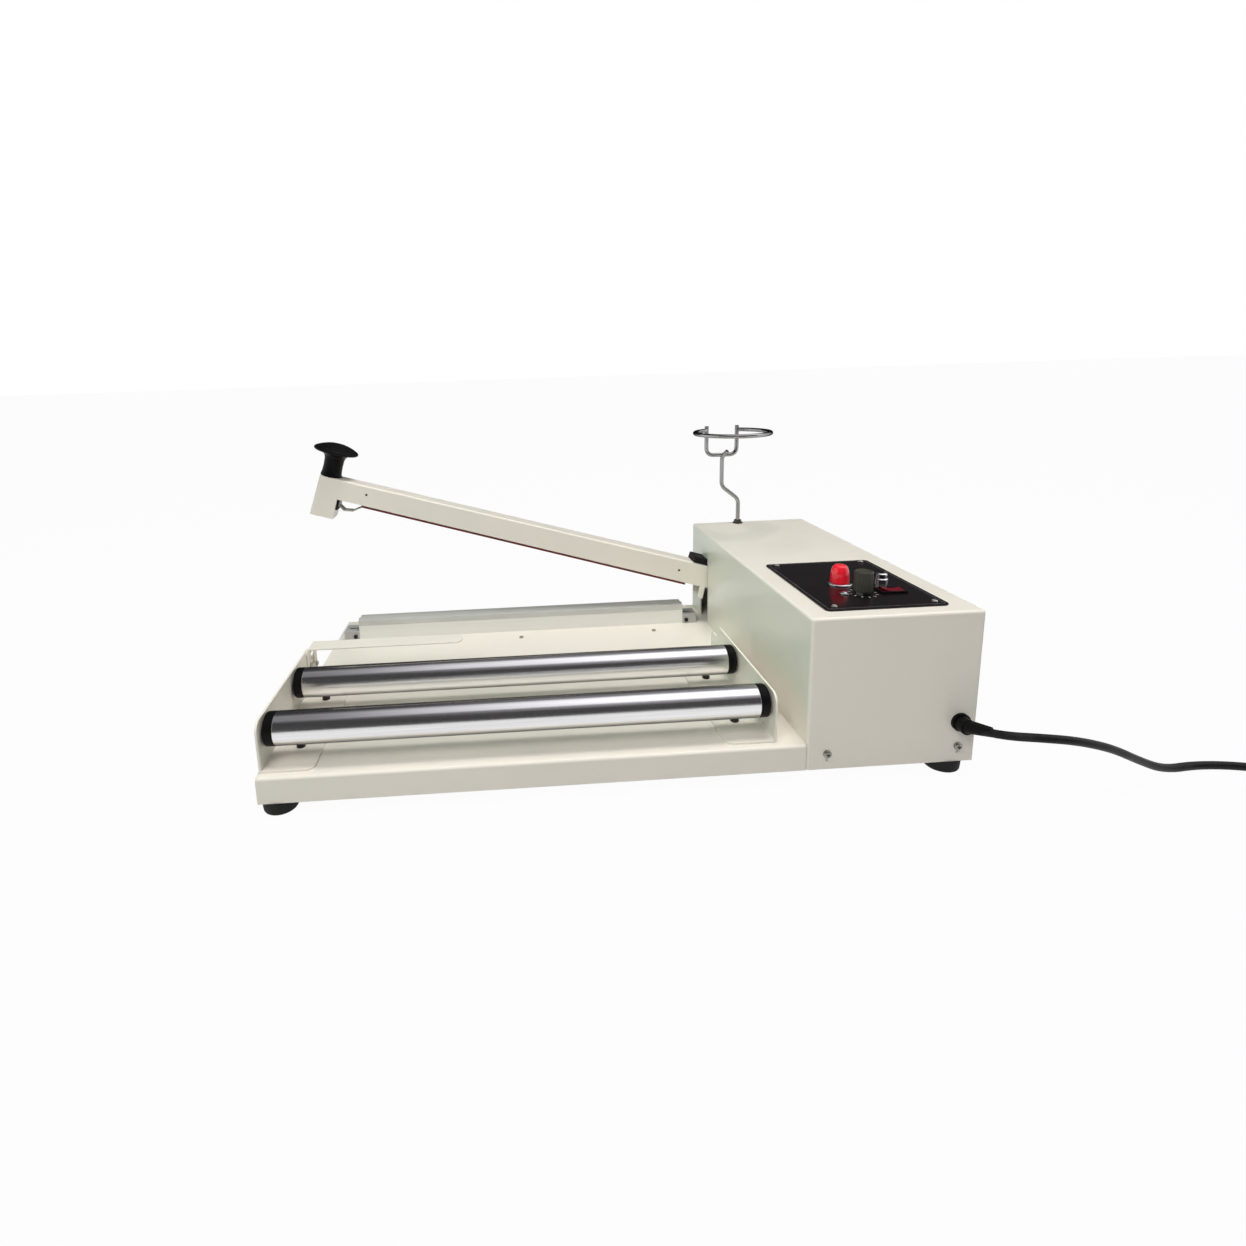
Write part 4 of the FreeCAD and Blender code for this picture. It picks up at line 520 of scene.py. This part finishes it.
def turned_mesh(name, profile, at, axis="z", segments=64, flute=None, lift=None):
    """A surface of revolution: radius times cosine and sine of the angle, height along z or x.

    flute gives a factor on the radius from the angle and the height; lift moves finished points.
    """
    rows = soft_profile(profile)
    angle = np.linspace(0, 2 * math.pi, segments, endpoint=False)[None, :]
    radius = rows[:, :1] * np.ones_like(angle)
    height = rows[:, 1:] * np.ones_like(angle)
    if flute:
        radius = radius * flute(angle, height)
    across, along = radius * np.cos(angle), radius * np.sin(angle)
    xyz = {"z": (across, along, height), "x": (height, across, along)}[axis]
    points = np.stack(xyz, axis=-1) + np.array(at, dtype=float)
    return ring_mesh(name, lift(points) if lift else points)


def wire_mesh(name, centres, radius, across, segments=20):
    """A round wire along a line: cosine and sine of the angle along two directions square to the line.

    across is a direction that the line never takes; the first of the two is square to it and to the line.
    The ends are eased by a ring at 0.85 of the radius and closed at a point.
    """
    along = np.gradient(centres, axis=0)
    side = np.cross(along, across)
    other = np.cross(along, side)
    side /= np.linalg.norm(side, axis=1, keepdims=True)
    other /= np.linalg.norm(other, axis=1, keepdims=True)
    rows = np.concatenate([[0, 0], np.arange(len(centres)), [-1, -1]])
    size = radius * np.concatenate([[0.0, 0.85], np.ones(len(centres)), [0.85, 0.0]])[:, None, None]
    angle = np.linspace(0, 2 * math.pi, segments, endpoint=False)[None, :, None]
    ring = side[rows][:, None] * np.cos(angle) + other[rows][:, None] * np.sin(angle)
    return ring_mesh(name, centres[rows][:, None] + size * ring)


def rounded_path(corners, bend):
    """A line through corners, each rounded by a bend's length."""
    points = np.array(corners, dtype=float)
    middle = [rounded(*three, bend, 0.45, 8) for three in zip(points, points[1:], points[2:])]
    return np.concatenate([points[:1], *middle, points[-1:]])


def dressed(node, bevel, material=None):
    """A CAD node's own shape with its points merged, its edges eased and its curves shaded round.

    The shading is weighted by the size of the faces, so that flat sides stay flat beside their bends.
    """
    mesh = nodes[node].data.copy()
    mesh.name = node + "_skin"
    mesh.materials.clear()
    material = material or FINISHES[SLOT_OF[node]]
    piece = make_piece(node + "_skin", merged(mesh), material, node, sharp=30.0)
    if bevel:
        ease = piece.modifiers.new("eased edges", "BEVEL")
        ease.width = bevel
        ease.segments = 2
        ease.limit_method = "ANGLE"
        ease.angle_limit = math.radians(40)
    even = piece.modifiers.new("even shading", "WEIGHTED_NORMAL")
    even.keep_sharp = True
    even.weight = 90
    return piece


# Lead
CORD_RADIUS = 3.85
CORD_LINE = 2 * CORD_RADIUS
GLAND_X = 662.4
COIL_CENTRE = (1054.0, -10.0)
COIL_RADIUS = 42.0
COIL_TURNS = 5
COIL_STEPS = 16
FLOOR = -12.0


def lead_points():
    """Control points of the lead: the run to the floor, the put-away turns, then the line to the plug.

    The turns are a spiral: it closes in by one thickness a turn for two turns, keeps its radius for one
    turn in which it climbs one thickness, and opens out again for two. The points lie outside the line
    by one over the cosine of half a step.
    """
    low = FLOOR + CORD_RADIUS
    run = [(0, 14, 41.3), (0, -12, 41.5), (15, -36, 46), (42, -50, 50), (75, -50, 45), (114, -43, 31)]
    run += [(150, -32, 10.9), (188.7, -22, low), (224.9, -18, low), (261.1, -23, low)]
    run += [(297.4, -37, low), (336.0, -50, low)]
    turn = np.arange(COIL_TURNS * COIL_STEPS + 1) / COIL_STEPS
    radius = COIL_RADIUS + CORD_LINE * np.interp(turn, (0, 2, 3, 5), (1, -1, -1, 1))
    radius /= math.cos(math.pi / COIL_STEPS)
    height = low + CORD_LINE * np.interp(turn, (2, 2.3), (0, 1))
    angle = 2 * math.pi * turn - math.pi / 2
    turns = np.stack([radius * np.cos(angle), radius * np.sin(angle), height], axis=-1)
    tail = [(24, -COIL_RADIUS - 7.0, -0.7), (48, -COIL_RADIUS - 2.0, -0.7), (74, -COIL_RADIUS, -0.7)]
    away = np.concatenate([turns, tail]) + (*COIL_CENTRE, 0)
    return np.concatenate([np.array(run) + (GLAND_X, 0, 0), away])


def make_lead():
    """The mains lead as one smooth line with a round section."""
    curve = bpy.data.curves.new("mains_lead", "CURVE")
    curve.dimensions = "3D"
    curve.bevel_depth = CORD_RADIUS / 1000.0
    curve.bevel_resolution = 5
    curve.resolution_u = 6
    curve.use_fill_caps = True
    points = placed(lead_points())
    weighted = np.concatenate([points, np.ones((len(points), 1))], axis=1)
    spline = curve.splines.new("NURBS")
    spline.points.add(len(points) - 1)
    spline.points.foreach_set("co", weighted.ravel())
    spline.order_u = 3
    spline.use_endpoint_u = True
    lead = linked("mains_lead", curve)
    curve.materials.append(FINISHES["cord_black"])
    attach(lead, "frame")
    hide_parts("power_cord", "cord_coil")
    return lead


lead = make_lead()
plug = dressed("power_plug", 0.0006)
gland = dressed("cord_gland", 0.0004)


# Stage
FLOOR_TONE = (0.45, 0.45, 0.45)
FLOOR_GLOW_SHARE = 0.965
ROOM_LIGHT = (0.275, 0.28, 0.275)
WHITE = (1.0, 1.0, 1.0)


def staged(name, corners, finish):
    """A four-cornered sheet of the stage."""
    mesh = bpy.data.meshes.new(name)
    mesh.from_pydata(corners, [], [(0, 1, 2, 3)])
    mesh.materials.append(finish.material)
    sheet = linked(name, mesh)
    return sheet


def make_floor():
    """A wide pale floor; most of what the camera sees of it is an even white."""
    finish = Finish("pale floor", FLOOR_TONE, 0.9)
    glow = finish.node("ShaderNodeEmission", inputs={"Color": (*WHITE, 1.0), "Strength": 1.0})
    lit = Value(finish, finish.shader.outputs[0])
    mixed = {0: finish.plain_to_eye() * FLOOR_GLOW_SHARE, 1: lit, 2: glow}
    finish.surface(finish.node("ShaderNodeMixShader", inputs=mixed))
    staged("floor", [(-30, -30, 0), (30, -30, 0), (30, 30, 0), (-30, 30, 0)], finish)


def make_world():
    """White to the camera and in reflections, and softer in the light that falls on the object."""
    world = bpy.data.worlds.new("room")
    bpy.context.scene.world = world
    world.use_nodes = True
    room = Tree(world.node_tree)
    background = world.node_tree.nodes["Background"]
    shown = room.mix(room.plain_to_eye(), ROOM_LIGHT, WHITE)
    world.node_tree.links.new(shown.socket, background.inputs["Color"])
    background.inputs["Strength"].default_value = 1.0


def glowing_card(name, corners, stops, reach, glow=1.0, left=1.0, matt=False):
    """A glowing card that only chrome and gloss see or, if it is matt, only matt surfaces.

    Its glow runs through the stops along Y over reach, in metres, and is scaled by glow. left is the share
    of it at the left end, and it grows to all of it at the right.
    """
    finish = Finish(name, (0.02, 0.02, 0.02), 0.9)
    x, y, _ = finish.axes()
    ramp = finish.node("ShaderNodeValToRGB", {"stops": stops}, {0: finish.spread(y, *reach, 0.0, 1.0)})
    strength = finish.spread(x, -1.0, 0.7, left, 1.0) * glow
    finish.surface(finish.node("ShaderNodeEmission", inputs={"Color": ramp, "Strength": strength}))
    card = staged(name, corners, finish)
    card.visible_camera = False
    card.visible_glossy = not matt
    card.visible_diffuse = matt
    card.visible_shadow = matt


def area_light(name, at, aim, size, power, tint=(1, 1, 1)):
    """A soft rectangular lamp aimed at a point."""
    data = bpy.data.lights.new(name, "AREA")
    data.shape = "RECTANGLE"
    data.size, data.size_y = size
    data.energy = power
    data.color = tint
    lamp = linked(name, data)
    lamp.visible_glossy = False
    lamp.location = at
    lamp.rotation_euler = (Vector(aim) - Vector(at)).to_track_quat("-Z", "Y").to_euler()


def flat(color):
    """Stops for a card of one colour."""
    return [(0.0, color), (1.0, color)]


def crosswise(near, far):
    """Corners of a card as wide as the room between two lines along X, each given by its Y and Z."""
    return [(-CARD_SIDE, *near), (CARD_SIDE, *near), (CARD_SIDE, *far), (-CARD_SIDE, *far)]


make_floor()
make_world()
DIM = (0.15, 0.145, 0.152)
STREAK = (0.30, 0.29, 0.305)
BRIGHT = (1.0, 0.98, 1.02)
CEILING = [(0.0, DIM), (0.10, DIM), (0.13, STREAK), (0.17, DIM), (0.19, DIM)]
CEILING += [(0.23, BRIGHT), (0.54, BRIGHT), (0.62, DIM), (1.0, DIM)]
DARK = flat((0.06, 0.057, 0.057))
GREEN = flat((0.12, 0.35, 0.25))
CARD_SIDE, CARD_TOP = 4.0, 2.4
CARD_FRONT, CARD_BACK = -2.4, 3.2
OVERHEAD = crosswise((CARD_FRONT, CARD_TOP), (CARD_BACK, CARD_TOP))
IN_FRONT = crosswise((CARD_FRONT, 0.0), (CARD_FRONT, CARD_TOP))
BEHIND = crosswise((CARD_BACK, 0.0), (CARD_BACK, CARD_TOP))
AT_LEFT = [(-3, -2.2, 0.0), (-3, 3.6, 0.0), (-3, 3.6, 3.4), (-3, -2.2, 3.4)]
glowing_card("ceiling", OVERHEAD, CEILING, (CARD_FRONT, CARD_BACK), 1.7, 0.12)
glowing_card("front_card", IN_FRONT, DARK, (-3, 3))
glowing_card("back_card", BEHIND, DARK, (-3, 3))
glowing_card("left_card", AT_LEFT, GREEN, (-3, 3), matt=True)
area_light("key", (-0.6, -1.1, 1.3), (0.0, 0, 0.08), (0.9, 0.9), 14.0, (1.0, 0.94, 0.92))
area_light("top", (0.25, -0.1, 2.0), (0.15, 0, 0), (0.6, 0.45), 22.0, (1.0, 0.955, 0.945))
area_light("left", (-1.5, 0.1, 0.7), (0.2, 0, 0.05), (0.6, 0.6), 0.9, (0.50, 1.0, 0.62))
bpy.context.scene.view_settings.view_transform = "Standard"


# Rollers
TUBE_LEFT, TUBE_RIGHT = 14.5, 474.9
CAP_LEFT, CAP_RIGHT = 5.5, 483.9
ROLLER_Z = 60.0
ROLLER_Y = {"front": 28.0, "rear": 124.0}


def roller_mesh(name, y):
    """A roller tube: a circle carried along X, with a small step in at both ends."""
    length = TUBE_RIGHT - TUBE_LEFT
    profile = [(14.5, 0), (14.5, 0.3), (15.6, 0.3, 0.3), (16.0, 0.8, 0.3), (16.0, 150)]
    profile += [(16.0, length - 150), (16.0, length - 0.8, 0.3), (15.6, length - 0.3, 0.3)]
    profile += [(14.5, length - 0.3), (14.5, length)]
    return turned_mesh(name, profile, (TUBE_LEFT, y, ROLLER_Z), axis="x", segments=128)


def roller_caps_mesh(name, y):
    """Two end caps: a rounded rim with a shallow dished face round the hub and the axle's bore."""
    rim = [(14.4, 9.0), (16.0, 9.0, 0.4), (16.0, 0.0, 4.2), (11.0, 0.0, 0.8), (10.0, 0.7, 0.5)]
    rim += [(8.2, 0.7, 0.3), (7.5, -1.6, 0.5), (4.1, -1.6, 0.3), (4.1, 9.0)]
    mirrored = [(row[0], -row[1]) + tuple(row[2:]) for row in rim]
    left = turned_mesh(name + "_a", rim, (CAP_LEFT, y, ROLLER_Z), axis="x", segments=96)
    right = turned_mesh(name + "_b", mirrored, (CAP_RIGHT, y, ROLLER_Z), axis="x", segments=96)
    return joined(name, [left, right])


for side, y in ROLLER_Y.items():
    caps = side + "_caps"
    make_piece(side + "_tube", roller_mesh(side + "_tube", y), ROLLER_CHROME, side + "_roller_tube")
    make_piece(caps, roller_caps_mesh(caps, y), FINISHES["black_plastic"], side + "_roller_caps")


# Feet
def feet_mesh():
    """Four rubber feet: a short drum with a rounded lower edge and a recess for the screw."""
    profile = [(2.6, 0), (16.5, 0, 0.6), (16.2, -7, 3.0), (15.6, -12, 4.0), (7.6, -12, 0.8)]
    profile += [(7.0, -7), (2.6, -7), (2.6, 0)]
    places = [(x, y) for x in (16.5, 656.5) for y in (14.0, 382.0)]
    return joined("feet", [turned_mesh("foot", profile, (x, y, 0.0), segments=64) for x, y in places])


make_piece("feet", feet_mesh(), FINISHES["black_rubber"], "rubber_feet")


# Hand knob, seated on the closed arm
KNOB_SEAT = (-23.0, 335.0, 84.1)


def knob_mesh():
    """The hand knob: a waisted stem that flares into a broad, gently domed disc."""
    profile = [(4.0, 0), (13.8, 0), (13.8, 1.8, 0.8), (12.9, 5.0, 2.5), (12.3, 13, 6), (12.8, 24.0, 5)]
    profile += [(15.2, 28.8, 3), (22.5, 31.6, 3), (27.6, 32.5, 1.2), (29.0, 34.2, 1.4)]
    profile += [(27.8, 36.4, 1.6), (21.5, 39.8, 5), (12, 43.0, 6), (5, 43.9, 4), (0, 44.0)]
    return turned_mesh("hand_knob", profile, KNOB_SEAT, segments=96, lift=raise_arm)


make_piece("hand_knob", knob_mesh(), FINISHES["black_plastic"], "arm_knob", sharp=50)


# Controls on the panel
def lamp_mesh():
    """The lamp: a bullet whose sides lean in to a rounded top, over its stem."""
    profile = [(0, -20), (5, -20), (5, 2), (9.5, 2, 0.5), (9.5, 5, 1.5), (8.9, 14.0, 4.0)]
    profile += [(6.6, 19.8, 3.4), (2.6, 20.9, 2), (0, 21.0)]
    return turned_mesh("lamp", profile, (*LAMP, PANEL_TOP), segments=72)


def lamp_ring_mesh():
    """The lamp's bright ring: a low stepped collar and the sleeve below it."""
    profile = [(5.1, -18), (7.5, -18), (7.5, -0.05), (12.5, 0, 0.3), (12.5, 1.2, 0.6)]
    profile += [(10.6, 2.0, 0.5), (5.1, 2.0), (5.1, -18)]
    return turned_mesh("lamp_ring", profile, (*LAMP, PANEL_TOP), segments=72)


def timer_mesh():
    """The timer knob: a fluted drum, its radius dipped by a narrow cosine, over its shaft."""

    def flute(angle, height):
        grip = np.clip((height - 5.5) / 1.5, 0, 1) * np.clip((22.2 - height) / 0.8, 0, 1)
        return 1 - 0.055 * grip * (0.5 + 0.5 * np.cos(18 * angle)) ** 2

    profile = [(0, -13), (3, -13), (3, 2.6), (9.0, 2.6, 0.4), (9.0, 5.0), (9.0, 6.5), (8.9, 14)]
    profile += [(8.8, 21.4), (8.7, 22.0, 0.4), (8.3, 23.0, 0.9), (6.5, 23.0, 0.4)]
    profile += [(6.2, 22.6, 0.3), (0, 22.6)]
    return turned_mesh("timer_grip", profile, (*TIMER, PANEL_TOP), segments=144, flute=flute)


def indicator_mesh():
    """A small bright dome on a collar."""
    profile = [(0, -12), (3.3, -12), (3.3, 0), (5.0, 0, 0.2), (5.0, 1.2, 0.5)]
    profile += [(3.6, 1.4, 0.3), (3.0, 2.3, 1.0), (0, 2.6)]
    return turned_mesh("indicator_dome", profile, (*INDICATOR, PANEL_TOP), segments=48)


make_piece("lamp", lamp_mesh(), FINISHES["red_lens"], "pilot_lamp_lens")
make_piece("lamp_ring", lamp_ring_mesh(), FINISHES["chrome"], "pilot_lamp_bezel")
make_piece("timer_grip", timer_mesh(), TIMER_MOULDING, "timer_knob")
make_piece("indicator_dome", indicator_mesh(), FINISHES["chrome"], "indicator")


# Tool stand
WIRE_RADIUS = 2.8
STAND_Y = 386.0
FORK_X = (530.0, 574.0)
RING_CENTRE = (552.0, 340.0, 290.0)
RING_RADIUS = 50.0


def stand_mesh():
    """Three bent wires: the cranked post, the fork across its top and the open ring on the prongs."""
    y = STAND_Y
    left, right = FORK_X
    crank = [(578, y, 140), (578, y, 188), (553, y, 208), (553, y, 251), (558, y - 8, 260)]
    post = rounded_path(crank, 7)
    fork = rounded_path([(left, y, 295.8), (left, y, 254), (right, y, 254), (right, y, 295.8)], 11)
    half = math.asin((right - left) / 2 / RING_RADIUS) + math.radians(2)
    angle = np.linspace(half, 2 * math.pi - half, 90)
    round_ring = np.stack([np.sin(angle), np.cos(angle), np.zeros_like(angle)], axis=-1)
    ring = np.array(RING_CENTRE) + RING_RADIUS * round_ring
    wires = ((post, (0, 1, 0)), (fork, (0, 1, 0)), (ring, (0, 0, 1)))
    meshes = [wire_mesh("wire", line, WIRE_RADIUS, across) for line, across in wires]
    return joined("tool_stand", meshes)


make_piece("tool_stand", stand_mesh(), WIRE_PLATE_PAINTED_DARK, "gun_stand")


# Pieces that keep the shape of their CAD node, by how far their edges are eased, in metres
OWN_FINISH = {"small_screws": SCREW_PLATE, "stand_nuts": NUT_PLATE, "strip_end_clip": CLIP_MOULDING}
EASED = {
    0.0: ("silicone_strip", "box_screws", "small_screws", "deck_screws", "bar_end_screws"),
    0.0002: ("strip_end_clip",),
    0.0003: ("base_tray", "control_box_cover", "arm_channel", "film_separator", "seal_bar", "rocker_bezel",
             "fuse_holder", "stand_nuts"),
    0.0004: ("roller_bracket_left", "roller_bracket_right", "head_pad", "control_panel", "rocker_button"),
    0.0006: ("bar_end_blocks",),
    0.0008: ("arm_stop_block",),
}
for bevel, names in EASED.items():
    for name in names:
        dressed(name, bevel, OWN_FINISH.get(name))

# All other CAD nodes show as they are, in the finish of their slot
for name, node in nodes.items():
    for material_slot in node.material_slots:
        material_slot.material = FINISHES[SLOT_OF[name]]
